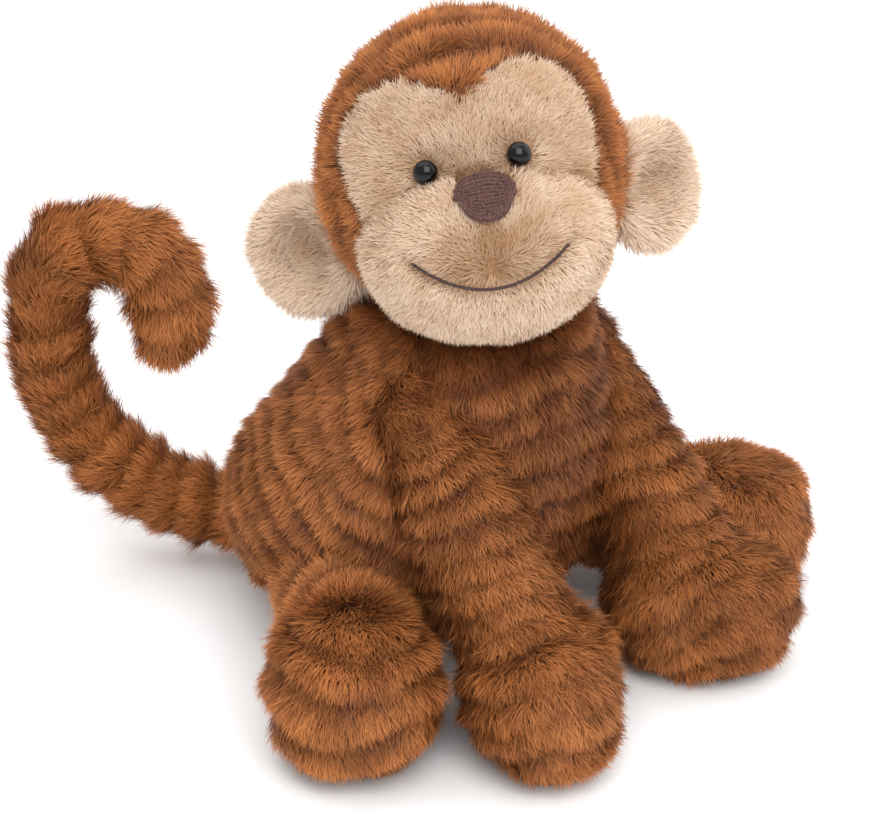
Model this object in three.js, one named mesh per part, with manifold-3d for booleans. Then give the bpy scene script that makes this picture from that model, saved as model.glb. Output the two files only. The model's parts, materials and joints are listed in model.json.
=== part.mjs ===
// A stuffed monkey, sitting with its arms down between its splayed legs and its tail curled up.
// Millimetres, +Z up. The chest faces -Y and the monkey's own left side is +X.
// Each cover is an open plush shell and each filling sits inside its cover.
import * as THREE from "three";
import { mergeVertices } from "three/addons/utils/BufferGeometryUtils.js";
import Module from "manifold-3d";

const wasm = await Module();
wasm.setup();

// Fits
const PLUSH = 2.6; // wall of the plush fabric
const LINER = 0.4; // gap between a cover and what fills it
const SEAM = 0.35; // gap between two covers that meet along a seam
const SWING = 1.4; // gap between pieces that move past each other
const STITCH_GAP = 0.1; // gap between a thread and the fabric it is sewn through
const CRUMB = 1; // mm3: a loose off-cut smaller than this is trimmed away
const FAR = 1000; // size of a block that cuts away all that lies beyond a plane
const ROOM_SIDES = 8; // sides of the plain shapes that clear room for moving pieces

// Body: a pear with its seat behind the shoulders
const BODY = {
  seatWidth: 140, seatDepth: 129, seatHeight: 52, seatBack: 25,
  neckWidth: 80, neckDepth: 70, neckHeight: 122, neckBack: -2, domeHeight: 9,
  sink: 3, slope: 1.25, leanFrom: 31, seamBack: 10,
};
const POUCH = { radius: 20, thickness: 26, back: 35, height: 18, channel: 12 };

// Head: a ball with a crowned muzzle pad, turned to the monkey's right and tipped back
const HEAD = {
  width: 98, depth: 91, height: 100, centreHeight: 161.5,
  turn: -42.5, roll: -10.5, nod: -9.5,
};
const MUZZLE = { width: 77, depth: 62, height: 59, forward: 26, drop: 19, aside: 1.3, twist: 4 };
const MASK = {
  lobeRadius: 20.5, lobeSpread: 16.5, lobeHeight: 12, width: 74, cusp: 4, chinWidth: 63.6, shoulder: 45,
};
const EYE = { radius: 3.7, spread: 29, height: 8, proud: 2.7, postRadius: 1.3, postLength: 9 };
const WASHER = { radius: 5, thickness: 1.2, bore: 0.3, behind: 1.8 };
const NOSE = { width: 20, height: 14, proud: 1.4, rise: -1, aside: 2 };
const SMILE = { width: 46, sag: 9.5, height: -17.5, thread: 0.7 };
const EAR = {
  width: 40, height: 38, thickness: 10, reach: 53.5, drop: 17, back: 8, cup: 3,
  rim: 4, hingeInset: 14.4,
};
const EAR_FLARES = { right: 26, left: 44 }; // degrees that each ear is folded back

// Neck: a firm plug of filling that the head turns and nods on
const NECK = { radius: 15, top: 128, bottom: 97, hinge: 128 };

// Limbs: a tapered tube that ends in a cushion-shaped paw or foot
const ARM = {
  rootRadius: 19, wristRadius: 20, throat: 12,
  endLength: 66, endWidth: 50, endHeight: 48, endMiddle: 23, splay: 44,
  rootInset: 2, rootBack: -12, rootHeight: 96, // the inset is measured in from the neck's half width
};
const PAWS = { right: [-40.5, -68], left: [35, -70] };
const LEG = {
  rootRadius: 25, wristRadius: 22, throat: 15,
  endLength: 57, endWidth: 57, endHeight: 51, endMiddle: 25, splay: 30,
  rootInset: 26, rootBack: 12, rootHeight: 31, // the inset is measured in from the seat's half width
};
const FEET = { right: { inset: 12.5, forward: 55.5 }, left: { inset: 8, forward: 68 } }; // clear of the paws
const SQUARE = 2.5; // how squared off a cushion is: 2 is round

// Tail: a run back along the floor, a wide bend up and a tight curl
const TAIL = {
  radius: 13, rootAside: -1, rootInset: 19.5, rootHeight: 20, heading: 44,
  run: 26, bend: 66, rise: 14, curl: 20.5, drop: 8,
  bendSeam: 34.4, curlSeams: [51.6, 126],
};

// Joint ranges, in degrees
const SWINGS = {
  arm: [0, 35], leg: [0, 20], turn: [-12, 42], headNod: [-8, 8], ear: [-15, 15],
  tailSway: [-15, 15], tailCurl: [-12, 12],
};

const ROUND = 16; // sides of a large round piece
const SIDES = 12; // sides of a limb
const FINE = 10; // sides of a small round piece
const BALL_ROWS = 0.6; // rows of a ball for each of its sides
const BODY_ROWS = 5; // rows of the seat's curve, and of the slope above it
const DOME_ROWS = 3; // rows of the dome at the neck
const LIMB_ROWS = 10; // rows of a limb's tube
const ROOM_ROWS = 8; // rows of the plain tube that clears room for a limb
const TUBE_STEP = 10; // spacing of the rings along the tail
const SMILE_STEPS = 10; // spans of the smile's curve
const SWEEP_STEPS = 2; // spans that a wide swing is cleared in

const FINISHES = {
  caramelPlush: new THREE.MeshStandardMaterial({ color: 0x96552a, roughness: 0.95, metalness: 0 }),
  beigePlush: new THREE.MeshStandardMaterial({ color: 0xd7b996, roughness: 0.95, metalness: 0 }),
  filling: new THREE.MeshStandardMaterial({ color: 0xf2f0ea, roughness: 1, metalness: 0 }),
  lining: new THREE.MeshStandardMaterial({ color: 0xd9d2c2, roughness: 0.9, metalness: 0 }),
  bead: new THREE.MeshStandardMaterial({ color: 0x0b0908, roughness: 0.1, metalness: 0 }),
  washer: new THREE.MeshStandardMaterial({ color: 0xe8e8e6, roughness: 0.5, metalness: 0 }),
  noseThread: new THREE.MeshStandardMaterial({ color: 0x4c3737, roughness: 0.7, metalness: 0 }),
  smileThread: new THREE.MeshStandardMaterial({ color: 0x3f2b25, roughness: 0.7, metalness: 0 }),
};

const rad = THREE.MathUtils.degToRad;
const UP = new THREE.Vector3(0, 0, 1);
const SIDE_SIGN = { right: -1, left: 1 };

// A closed geometry as a solid, after an optional placing matrix.
function solidOf(geometry, matrix) {
  const plain = geometry.clone();
  plain.deleteAttribute("normal");
  plain.deleteAttribute("uv");
  const merged = mergeVertices(plain, 1e-4);
  if (matrix) merged.applyMatrix4(matrix);
  return new wasm.Manifold(
    new wasm.Mesh({
      numProp: 3,
      vertProperties: merged.attributes.position.array,
      triVerts: new Uint32Array(merged.index.array),
    }),
  );
}

// A solid as a geometry.
function geometryOf(solid) {
  const mesh = solid.getMesh();
  const geometry = new THREE.BufferGeometry();
  geometry.setAttribute("position", new THREE.BufferAttribute(mesh.vertProperties, 3));
  geometry.setIndex(new THREE.BufferAttribute(mesh.triVerts, 1));
  return geometry;
}

// A solid moved by a matrix.
function moved(solid, matrix) {
  return solidOf(geometryOf(solid), matrix);
}

// A solid as a named piece in its group.
function addPiece(group, name, solid, finish) {
  const geometry = geometryOf(solid).toNonIndexed();
  geometry.computeVertexNormals();
  const mesh = new THREE.Mesh(geometry, finish.clone());
  mesh.name = name;
  group.add(mesh);
}

function shift(x, y, z) {
  return new THREE.Matrix4().makeTranslation(x, y, z);
}

// A box given by its middle and its whole sizes.
function block(x, y, z, dx, dy, dz) {
  return solidOf(new THREE.BoxGeometry(dx, dy, dz), shift(x, y, z));
}

// A ball stretched to three half sizes.
function ball(rx, ry, rz, matrix = new THREE.Matrix4(), sides = ROUND) {
  const geometry = new THREE.SphereGeometry(1, sides, Math.round(sides * BALL_ROWS));
  geometry.rotateX(Math.PI / 2);
  geometry.scale(rx, ry, rz);
  return solidOf(geometry, matrix);
}

// A cushion: a stretched ball with its sides squared off.
function cushion(rx, ry, rz, matrix, sides) {
  const geometry = new THREE.SphereGeometry(1, sides, Math.round(sides * BALL_ROWS));
  geometry.rotateX(Math.PI / 2);
  const place = geometry.attributes.position;
  const point = new THREE.Vector3();
  for (let i = 0; i < place.count; i++) {
    point.fromBufferAttribute(place, i);
    const powers = point.toArray().map((value) => Math.abs(value) ** SQUARE);
    point.divideScalar((powers[0] + powers[1] + powers[2]) ** (1 / SQUARE));
    place.setXYZ(i, point.x * rx, point.y * ry, point.z * rz);
  }
  return solidOf(geometry, matrix);
}

// A round profile, [radius, height] pairs, turned about Z.
function turned(profile, sides) {
  const points = profile.map(([r, z]) => new THREE.Vector2(r, z));
  const geometry = new THREE.LatheGeometry(points, sides);
  geometry.rotateX(Math.PI / 2);
  return geometry;
}

// A plain cylinder along Z from one height to another.
function post(radius, low, high, matrix = new THREE.Matrix4(), sides = FINE) {
  return solidOf(turned([[0, low], [radius, low], [radius, high], [0, high]], sides), matrix);
}

// Turns a matrix about an axis through a point.
function turnAbout(point, axis, degrees) {
  const turn = new THREE.Matrix4().makeRotationAxis(axis, rad(degrees));
  return shift(point.x, point.y, point.z)
    .multiply(turn)
    .multiply(shift(-point.x, -point.y, -point.z));
}

// What a solid passes through as it turns about a hinge, from one end of its range to the other.
function swept(solid, point, axis, [low, high], steps = 1) {
  let all = moved(solid, turnAbout(point, axis, low));
  for (let i = 1; i <= steps; i++) {
    const angle = low + ((high - low) * i) / steps;
    all = all.add(moved(solid, turnAbout(point, axis, angle)));
  }
  return all;
}

// How much a coarse round shape grows so that its flats clear the true radius.
function roomFor(radius) {
  return radius / Math.cos(Math.PI / ROOM_SIDES) - radius + SWING;
}

// All that lies below a height.
function below(height) {
  return block(0, 0, height - FAR / 2, FAR, FAR, FAR);
}

// The body's outline, smaller by an inset: a round seat blended up to the neck.
function bodySolid(inset) {
  const seat = BODY.seatWidth / 2;
  const neck = BODY.neckWidth / 2;
  const profile = [];
  for (let i = 0; i <= BODY_ROWS; i++) {
    const a = (Math.PI / 2) * (1 - i / BODY_ROWS);
    profile.push([
      Math.cos(a) * (seat - inset),
      BODY.seatHeight - Math.sin(a) * (BODY.seatHeight + BODY.sink - inset),
    ]);
  }
  const climb = BODY.neckHeight - BODY.seatHeight;
  for (let i = 1; i <= BODY_ROWS; i++) {
    const t = i / BODY_ROWS;
    const ease = 0.5 - 0.5 * Math.cos(Math.PI * t ** BODY.slope);
    profile.push([seat + (neck - seat) * ease - inset, BODY.seatHeight + climb * t]);
  }
  for (let i = 1; i <= DOME_ROWS; i++) {
    const a = (Math.PI / 2) * (i / DOME_ROWS);
    profile.push([
      Math.cos(a) * (neck - inset),
      BODY.neckHeight + Math.sin(a) * (BODY.domeHeight - inset),
    ]);
  }
  profile[0][0] = 0;
  profile[profile.length - 1][0] = 0;
  const geometry = turned(profile, ROUND);
  const place = geometry.attributes.position;
  const seatRatio = BODY.seatDepth / BODY.seatWidth;
  const neckRatio = BODY.neckDepth / BODY.neckWidth;
  for (let i = 0; i < place.count; i++) {
    const t = THREE.MathUtils.smoothstep(place.getZ(i), BODY.leanFrom, BODY.neckHeight);
    const back = BODY.seatBack + (BODY.neckBack - BODY.seatBack) * t;
    const ratio = seatRatio + (neckRatio - seatRatio) * t;
    place.setY(i, place.getY(i) * ratio + back);
  }
  return solidOf(geometry).subtract(below(inset));
}

// A limb's tube along Z from its root at 0 to its wrist at a length, smaller by an inset.
function limbTube(size, length, inset, sides = SIDES, rows = LIMB_ROWS) {
  const root = size.rootRadius - inset;
  const wrist = size.wristRadius - inset;
  const profile = [];
  for (let i = 0; i <= rows; i++) {
    const s = -root + ((length + wrist + root) * (1 - Math.cos((Math.PI * i) / rows))) / 2;
    const along = THREE.MathUtils.clamp(s / length, 0, 1);
    const past = s - along * length;
    const radius = root + (wrist - root) * along;
    profile.push([Math.sqrt(Math.max(0, radius ** 2 - past ** 2)), s]);
  }
  profile[0][0] = 0;
  profile[rows][0] = 0;
  return turned(profile, sides);
}

// The matrix that stands a limb on its root, pointing at its paw.
function limbPlace(root, paw) {
  const way = paw.clone().sub(root).normalize();
  const turn = new THREE.Quaternion().setFromUnitVectors(UP, way);
  return new THREE.Matrix4().compose(root, turn, new THREE.Vector3(1, 1, 1));
}

// One limb's cover, its filling and the plain shape that it needs room for.
function makeLimb(size, root, end, splay) {
  const length = end.distanceTo(root);
  const place = limbPlace(root, end);
  const endPlace = shift(...end.toArray()).multiply(new THREE.Matrix4().makeRotationZ(rad(splay)));
  const halves = [size.endWidth / 2, size.endLength / 2, size.endHeight / 2];
  const cushioned = (grow, sides) => cushion(...halves.map((half) => half + grow), endPlace, sides);
  const outline = (inset) =>
    solidOf(limbTube(size, length, inset), place).add(cushioned(-inset, SIDES)).subtract(below(inset));
  const throat = post(size.throat, -size.rootRadius - SWING, 0, place, SIDES);
  const cover = outline(0).subtract(outline(PLUSH)).subtract(throat);
  const filling = outline(PLUSH + LINER);
  const tubeRoom = limbTube(size, length, -roomFor(size.rootRadius), ROOM_SIDES, ROOM_ROWS);
  const reach = solidOf(tubeRoom, place).add(cushioned(roomFor(size.endLength / 2), ROOM_SIDES));
  return { cover, filling, reach, root };
}

// The tail's centre line in its own plane, as [out, up] points from its root.
function tailPoint(s) {
  const bendLength = (Math.PI / 2) * TAIL.bend;
  const curlLength = Math.PI * TAIL.curl;
  let rest = s - TAIL.run;
  if (rest < 0) return [s, 0];
  if (rest < bendLength) {
    const a = rest / TAIL.bend;
    return [TAIL.run + Math.sin(a) * TAIL.bend, TAIL.bend * (1 - Math.cos(a))];
  }
  rest -= bendLength;
  const side = TAIL.run + TAIL.bend;
  if (rest < TAIL.rise) return [side, TAIL.bend + rest];
  rest -= TAIL.rise;
  const top = TAIL.bend + TAIL.rise;
  if (rest < curlLength) {
    const a = rest / TAIL.curl;
    return [side - TAIL.curl * (1 - Math.cos(a)), top + Math.sin(a) * TAIL.curl];
  }
  return [side - 2 * TAIL.curl, top - (rest - curlLength)];
}

const TAIL_LENGTH =
  TAIL.run + (Math.PI / 2) * TAIL.bend + TAIL.rise + Math.PI * TAIL.curl + TAIL.drop;
const TAIL_OUT = new THREE.Vector3(-Math.sin(rad(TAIL.heading)), Math.cos(rad(TAIL.heading)), 0);
const TAIL_BACK = BODY.seatBack + BODY.seatDepth / 2 - TAIL.rootInset;
const TAIL_ROOT = new THREE.Vector3(TAIL.rootAside, TAIL_BACK, TAIL.rootHeight);

function tailPlace(s) {
  const [out, up] = tailPoint(s);
  return TAIL_ROOT.clone().addScaledVector(TAIL_OUT, out).addScaledVector(UP, up);
}

// A round tube along the tail from one length to another.
function tailTube(radius, from, to) {
  const steps = Math.round((to - from) / TUBE_STEP);
  const points = [];
  for (let i = 0; i <= steps; i++) points.push(tailPlace(from + ((to - from) * i) / steps));
  const section = new THREE.Shape();
  section.absarc(0, 0, radius, 0, 2 * Math.PI, false);
  const geometry = new THREE.ExtrudeGeometry(section, {
    steps,
    curveSegments: FINE / 2,
    bevelEnabled: false,
    extrudePath: new THREE.CatmullRomCurve3(points),
  });
  return solidOf(geometry);
}

// The whole tail, smaller by an inset, with its tip closed and its root end open past a margin.
function tailSolid(inset, margin) {
  const radius = TAIL.radius - inset;
  const tip = shift(...tailPlace(TAIL_LENGTH).toArray());
  return tailTube(radius, -margin, TAIL_LENGTH).add(ball(radius, radius, radius, tip, SIDES));
}

// A disc that cuts the tail across at a length, leaving a gap.
function tailCut(s, gap) {
  const centre = tailPlace(s);
  const along = tailPlace(s + 1).sub(tailPlace(s - 1)).normalize();
  const turn = new THREE.Quaternion().setFromUnitVectors(UP, along);
  const place = new THREE.Matrix4().compose(centre, turn, new THREE.Vector3(1, 1, 1));
  return post(2 * TAIL.radius, -gap / 2, gap / 2, place);
}

// A solid cut into lengths of the tail, in order from the root.
function tailLengths(solid, cuts) {
  let parts = solid;
  for (const [s, gap] of cuts) parts = parts.subtract(tailCut(s, gap));
  const ends = [0, ...cuts.map(([s]) => s), TAIL_LENGTH];
  const bodies = parts.decompose();
  return ends.slice(1).map((to, index) => {
    const middle = tailPlace((ends[index] + to) / 2);
    const far = (body) => {
      const box = body.boundingBox();
      const centre = new THREE.Vector3(...box.min).add(new THREE.Vector3(...box.max)).divideScalar(2);
      return centre.distanceTo(middle);
    };
    return bodies.reduce((best, body) => (far(body) < far(best) ? body : best));
  });
}

const object = new THREE.Group();

// Head pieces, in the head's own frame: its face looks along -Y
const headGroup = new THREE.Group();
headGroup.position.set(0, 0, HEAD.centreHeight);
headGroup.rotation.set(rad(HEAD.nod), rad(HEAD.roll), rad(HEAD.turn), "ZYX");
headGroup.updateMatrix();
object.add(headGroup);
const HEAD_PLACE = headGroup.matrix.clone();

const headBall = (inset) =>
  ball(HEAD.width / 2 - inset, HEAD.depth / 2 - inset, HEAD.height / 2 - inset);
const TWIST = new THREE.Matrix4().makeRotationY(rad(MUZZLE.twist));
const MUZZLE_PLACE = TWIST.clone().multiply(shift(MUZZLE.aside, -MUZZLE.forward, -MUZZLE.drop));
const muzzleBall = (inset) =>
  ball(MUZZLE.width / 2 - inset, MUZZLE.depth / 2 - inset, MUZZLE.height / 2 - inset, MUZZLE_PLACE);

// How far forward a stretched ball's surface lies at a place on the face.
function faceDepth(size, forward, drop, x, z) {
  const across = x / (size.width / 2);
  const high = (z + drop) / (size.height / 2);
  return -forward - (size.depth / 2) * Math.sqrt(Math.max(0, 1 - across ** 2 - high ** 2));
}

// The two-lobed face panel's outline, grown by a margin, as a block through the head's front.
function maskBlock(margin) {
  const lobe = MASK.lobeRadius + margin;
  const half = MASK.width / 2 + margin;
  const shape = new THREE.Shape();
  const meet = Math.acos(MASK.lobeSpread / lobe);
  const cusp = meet + rad(MASK.cusp);
  shape.moveTo(half, MASK.lobeHeight);
  const shoulder = rad(MASK.shoulder);
  const cheek = half - MASK.lobeSpread;
  shape.absarc(MASK.lobeSpread, MASK.lobeHeight, cheek, 0, shoulder, false);
  shape.absarc(MASK.lobeSpread, MASK.lobeHeight, lobe, shoulder, Math.PI - cusp, false);
  shape.lineTo(0, MASK.lobeHeight + lobe * Math.sin(meet));
  shape.absarc(-MASK.lobeSpread, MASK.lobeHeight, lobe, cusp, Math.PI - shoulder, false);
  shape.absarc(-MASK.lobeSpread, MASK.lobeHeight, cheek, Math.PI - shoulder, Math.PI, false);
  shape.lineTo(-MASK.chinWidth / 2 - margin, -MUZZLE.drop);
  shape.lineTo(MASK.chinWidth / 2 + margin, -MUZZLE.drop);
  shape.closePath();
  const geometry = new THREE.ExtrudeGeometry(shape, {
    depth: HEAD.depth,
    bevelEnabled: false,
    curveSegments: FINE / 2,
  });
  geometry.rotateX(Math.PI / 2);
  return solidOf(geometry);
}

// One ear in the head's frame, in front of or behind its seam
function earPlace(sign) {
  const flare = sign === SIDE_SIGN.left ? EAR_FLARES.left : EAR_FLARES.right;
  const place = shift(sign * EAR.reach, EAR.back, -EAR.drop);
  return place.multiply(new THREE.Matrix4().makeRotationZ(rad(sign * flare)));
}

function earSolid(sign) {
  const flat = ball(EAR.width / 2, EAR.thickness / 2, EAR.height / 2, undefined, SIDES);
  const front = shift(0, -EAR.thickness / 2, 0);
  const hollow = ball(EAR.width / 2 - EAR.rim, EAR.cup, EAR.height / 2 - EAR.rim, front, SIDES);
  return moved(flat.subtract(hollow), earPlace(sign));
}

// A plain ball that clears an ear.
function earRoom(sign) {
  const grow = roomFor(EAR.thickness / 2);
  const room = ball(
    EAR.width / 2 + grow,
    EAR.thickness / 2 + grow,
    EAR.height / 2 + grow,
    undefined,
    ROOM_SIDES,
  );
  return moved(room, earPlace(sign));
}

const earHinge = (sign) => new THREE.Vector3(sign * (EAR.reach - EAR.hingeInset), EAR.back, 0);

const headSockets = [-1, 1].map((sign) =>
  swept(earRoom(sign), earHinge(sign), UP, SWINGS.ear),
);

// The matrix that stands an eye on the face, with +Z into the head.
function eyePlace(sign) {
  const x = (sign * EYE.spread) / 2;
  const spot = new THREE.Vector3(x, faceDepth(HEAD, 0, 0, x, EYE.height), EYE.height);
  const halves = new THREE.Vector3(HEAD.width, HEAD.depth, HEAD.height).divideScalar(2);
  const inward = spot.clone().divide(halves).divide(halves).normalize().negate();
  const turn = new THREE.Quaternion().setFromUnitVectors(UP, inward);
  return new THREE.Matrix4().compose(spot, turn, new THREE.Vector3(1, 1, 1));
}

const eyePost = (sign, grow) =>
  post(EYE.postRadius + grow, -EYE.radius, EYE.postLength + grow, eyePlace(sign));

const muzzleCut = muzzleBall(-SEAM);
let hood = headBall(0).subtract(headBall(PLUSH)).subtract(maskBlock(SEAM)).subtract(muzzleCut);
let mask = headBall(0)
  .subtract(headBall(PLUSH))
  .intersect(maskBlock(0))
  .subtract(muzzleCut);
let muzzle = muzzleBall(0).subtract(muzzleBall(PLUSH)).subtract(headBall(LINER));
let headFilling = headBall(PLUSH + LINER)
  .subtract(muzzleBall(LINER).intersect(headBall(0).subtract(headBall(PLUSH + LINER))))
  .add(muzzleBall(PLUSH + LINER));
const neckPost = (grow) =>
  post(NECK.radius + grow, NECK.bottom - grow, NECK.top + grow, undefined, SIDES);
const NOD_POINT = new THREE.Vector3(0, 0, NECK.hinge);
const NOD_AXIS = new THREE.Vector3(Math.cos(rad(HEAD.turn)), Math.sin(rad(HEAD.turn)), 0);
const neckRoom = moved(
  swept(neckPost(SWING), NOD_POINT, NOD_AXIS, SWINGS.headNod),
  HEAD_PLACE.clone().invert(),
);
muzzle = muzzle.subtract(neckRoom);
for (const room of [neckRoom, ...headSockets]) {
  hood = hood.subtract(room);
  headFilling = headFilling.subtract(room);
}

for (const [side, sign] of Object.entries(SIDE_SIGN)) {
  const place = eyePlace(sign);
  const beadMiddle = shift(0, 0, EYE.radius - EYE.proud);
  const bead = ball(EYE.radius, EYE.radius, EYE.radius, beadMiddle, SIDES);
  const beadCap = moved(bead, place).subtract(headBall(-LINER));
  addPiece(headGroup, `eye_bead_${side}`, beadCap.add(eyePost(sign, 0)), FINISHES.bead);
  const seat = PLUSH + WASHER.behind;
  const back = seat + WASHER.thickness;
  const ring = post(WASHER.radius, seat, back, place, SIDES);
  const washer = ring.subtract(eyePost(sign, WASHER.bore));
  addPiece(headGroup, `eye_washer_${side}`, washer, FINISHES.washer);
  const ringRoom = post(WASHER.radius + LINER, PLUSH, back + LINER, place, SIDES);
  const stemRoom = eyePost(sign, LINER);
  mask = mask.subtract(stemRoom);
  headFilling = headFilling.subtract(stemRoom).subtract(ringRoom);
}

addPiece(headGroup, "head_hood", hood, FINISHES.caramelPlush);
addPiece(headGroup, "face_panel", mask, FINISHES.beigePlush);
addPiece(headGroup, "muzzle_panel", muzzle, FINISHES.beigePlush);
addPiece(headGroup, "head_filling", headFilling, FINISHES.filling);

// The head and muzzle together, grown by a margin.
const faceBall = (margin) => headBall(-margin).add(muzzleBall(-margin));

// Nose: a raised oval of satin stitches over the top of the muzzle
const noseShape = new THREE.Shape();
noseShape.absellipse(0, 0, NOSE.width / 2, NOSE.height / 2, 0, 2 * Math.PI, false);
const noseBlock = new THREE.ExtrudeGeometry(noseShape, {
  depth: HEAD.depth,
  bevelEnabled: false,
  curveSegments: FINE,
});
noseBlock.rotateX(Math.PI / 2);
const nosePlace = TWIST.clone().multiply(shift(NOSE.aside, -MUZZLE.forward, NOSE.rise));
const nose = solidOf(noseBlock, nosePlace)
  .intersect(faceBall(NOSE.proud))
  .subtract(faceBall(SEAM));
addPiece(headGroup, "nose_stitching", nose, FINISHES.noseThread);

// Smile: one line of thread along the muzzle
const smilePoints = [];
for (let i = 0; i <= SMILE_STEPS; i++) {
  const t = (2 * i) / SMILE_STEPS - 1;
  const x = (t * SMILE.width) / 2;
  const z = SMILE.height - SMILE.sag * (1 - t * t);
  const lift = SMILE.thread + SEAM;
  const grown = {
    width: MUZZLE.width + 2 * lift,
    depth: MUZZLE.depth + 2 * lift,
    height: MUZZLE.height + 2 * lift,
  };
  const spot = new THREE.Vector3(x, faceDepth(grown, MUZZLE.forward, MUZZLE.drop, x, z), z);
  spot.x += MUZZLE.aside;
  smilePoints.push(spot.applyMatrix4(TWIST));
}
const threadSection = new THREE.Shape();
threadSection.absarc(0, 0, SMILE.thread, 0, 2 * Math.PI, false);
const smile = new THREE.ExtrudeGeometry(threadSection, {
  steps: 2 * SMILE_STEPS,
  curveSegments: FINE / 2 - 2,
  bevelEnabled: false,
  extrudePath: new THREE.CatmullRomCurve3(smilePoints),
});
const smileLine = solidOf(smile).subtract(muzzleBall(-STITCH_GAP));
addPiece(headGroup, "smile_stitching", smileLine, FINISHES.smileThread);

for (const [side, sign] of Object.entries(SIDE_SIGN)) {
  const ear = earSolid(sign);
  const half = (direction) =>
    moved(block(0, (direction * (FAR + SEAM)) / 2, 0, FAR, FAR, FAR), earPlace(sign));
  const back = ear.intersect(half(1));
  const front = ear.intersect(half(-1));
  addPiece(headGroup, `ear_front_${side}`, front, FINISHES.beigePlush);
  addPiece(headGroup, `ear_back_${side}`, back, FINISHES.beigePlush);
}

// Limbs
const limbs = {};
for (const [side, sign] of Object.entries(SIDE_SIGN)) {
  const rootOf = (size, half) =>
    new THREE.Vector3(sign * (half - size.rootInset), size.rootBack, size.rootHeight);
  const paw = new THREE.Vector3(...PAWS[side], ARM.endMiddle);
  limbs[`arm_${side}`] = makeLimb(ARM, rootOf(ARM, BODY.neckWidth / 2), paw, sign * ARM.splay);
  const out = (BODY.seatWidth + ARM.endWidth) / 2 - FEET[side].inset;
  const foot = new THREE.Vector3(sign * out, ARM.endWidth / 2 - FEET[side].forward, LEG.endMiddle);
  limbs[`leg_${side}`] = makeLimb(LEG, rootOf(LEG, BODY.seatWidth / 2), foot, sign * LEG.splay);
}
for (const [name, limb] of Object.entries(limbs)) {
  addPiece(object, `${name}_cover`, limb.cover, FINISHES.caramelPlush);
  addPiece(object, `${name}_filling`, limb.filling, FINISHES.filling);
}
const ACROSS = new THREE.Vector3(-1, 0, 0);

// Tail: five lengths, bent at the third cut
const bendEnd = TAIL.run + (Math.PI / 2) * TAIL.bend;
const curlStart = bendEnd + TAIL.rise;
const knuckle = TAIL.radius * Math.sin(rad(SWINGS.tailCurl[1])) + 2 * SWING;
const tailCuts = [
  [TAIL.run + rad(TAIL.bendSeam) * TAIL.bend, SEAM],
  [bendEnd, knuckle],
  ...TAIL.curlSeams.map((turn) => [curlStart + rad(turn) * TAIL.curl, SEAM]),
];
const tailCover = tailSolid(0, 0).subtract(tailSolid(PLUSH, 1));
const tailFilling = tailSolid(PLUSH + LINER, 0);
const tailPieces = [
  ["cover", tailCover, FINISHES.caramelPlush],
  ["filling", tailFilling, FINISHES.filling],
];
for (const [kind, solid, finish] of tailPieces) {
  tailLengths(solid, tailCuts).forEach((length, index) => {
    addPiece(object, `tail_${kind}_${index + 1}`, length, finish);
  });
}

// Room in the body for each thing that moves against it
const nodShift = (HEAD.centreHeight - NECK.hinge) * Math.sin(rad(SWINGS.headNod[1]));
const headRadius = HEAD.height / 2 + nodShift + SWING;
const headRoom = ball(headRadius, headRadius, headRadius, shift(0, 0, HEAD.centreHeight));
const muzzleGrow = roomFor(MUZZLE.width / 2);
const muzzleReach = moved(
  ball(
    MUZZLE.width / 2 + muzzleGrow,
    MUZZLE.depth / 2 + muzzleGrow,
    MUZZLE.height / 2 + muzzleGrow,
    MUZZLE_PLACE,
    ROOM_SIDES,
  ),
  HEAD_PLACE,
);
const muzzleRoom = swept(
  moved(muzzleReach, turnAbout(NOD_POINT, NOD_AXIS, SWINGS.headNod[1])),
  NOD_POINT,
  UP,
  SWINGS.turn,
  SWEEP_STEPS,
);
const tailRoom = tailTube(TAIL.radius + SWING, -SWING, TAIL.run + TAIL.radius);
const earRooms = headSockets.map((socket) =>
  swept(moved(socket, HEAD_PLACE), NOD_POINT, UP, SWINGS.turn, 2 * SWEEP_STEPS),
);
const rooms = [
  headRoom,
  muzzleRoom,
  ...earRooms,
  swept(limbs.arm_right.reach, limbs.arm_right.root, ACROSS, SWINGS.arm, SWEEP_STEPS),
  swept(limbs.arm_left.reach, limbs.arm_left.root, ACROSS, SWINGS.arm, SWEEP_STEPS),
  swept(limbs.leg_right.reach, limbs.leg_right.root, UP, [-SWINGS.leg[1], 0]),
  swept(limbs.leg_left.reach, limbs.leg_left.root, UP, SWINGS.leg),
  swept(tailRoom, TAIL_ROOT, UP, SWINGS.tailSway, SWEEP_STEPS),
  neckPost(SWING),
];
const pouch = (grow) =>
  ball(
    POUCH.radius + grow,
    POUCH.radius + grow,
    POUCH.thickness / 2 + grow,
    shift(0, POUCH.back, POUCH.height),
  );
let bodyCover = bodySolid(0).subtract(bodySolid(PLUSH));
let bodyFilling = bodySolid(PLUSH + LINER)
  .subtract(pouch(LINER))
  .subtract(post(POUCH.channel, 0, POUCH.height, shift(0, POUCH.back, 0)));
for (const room of rooms) {
  bodyCover = bodyCover.subtract(room);
  bodyFilling = bodyFilling.subtract(room);
}
const panel = (direction) => {
  const side = block(0, BODY.seamBack + (direction * (FAR + SEAM)) / 2, 0, FAR, FAR, FAR);
  const bodies = bodyCover.intersect(side).decompose();
  return wasm.Manifold.compose(bodies.filter((body) => body.volume() > CRUMB));
};
addPiece(object, "body_front_panel", panel(-1), FINISHES.caramelPlush);
addPiece(object, "body_back_panel", panel(1), FINISHES.caramelPlush);
addPiece(object, "body_filling", bodyFilling, FINISHES.filling);
addPiece(object, "bead_pouch", pouch(0), FINISHES.lining);
addPiece(object, "neck_plug", neckPost(0), FINISHES.filling);

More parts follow.
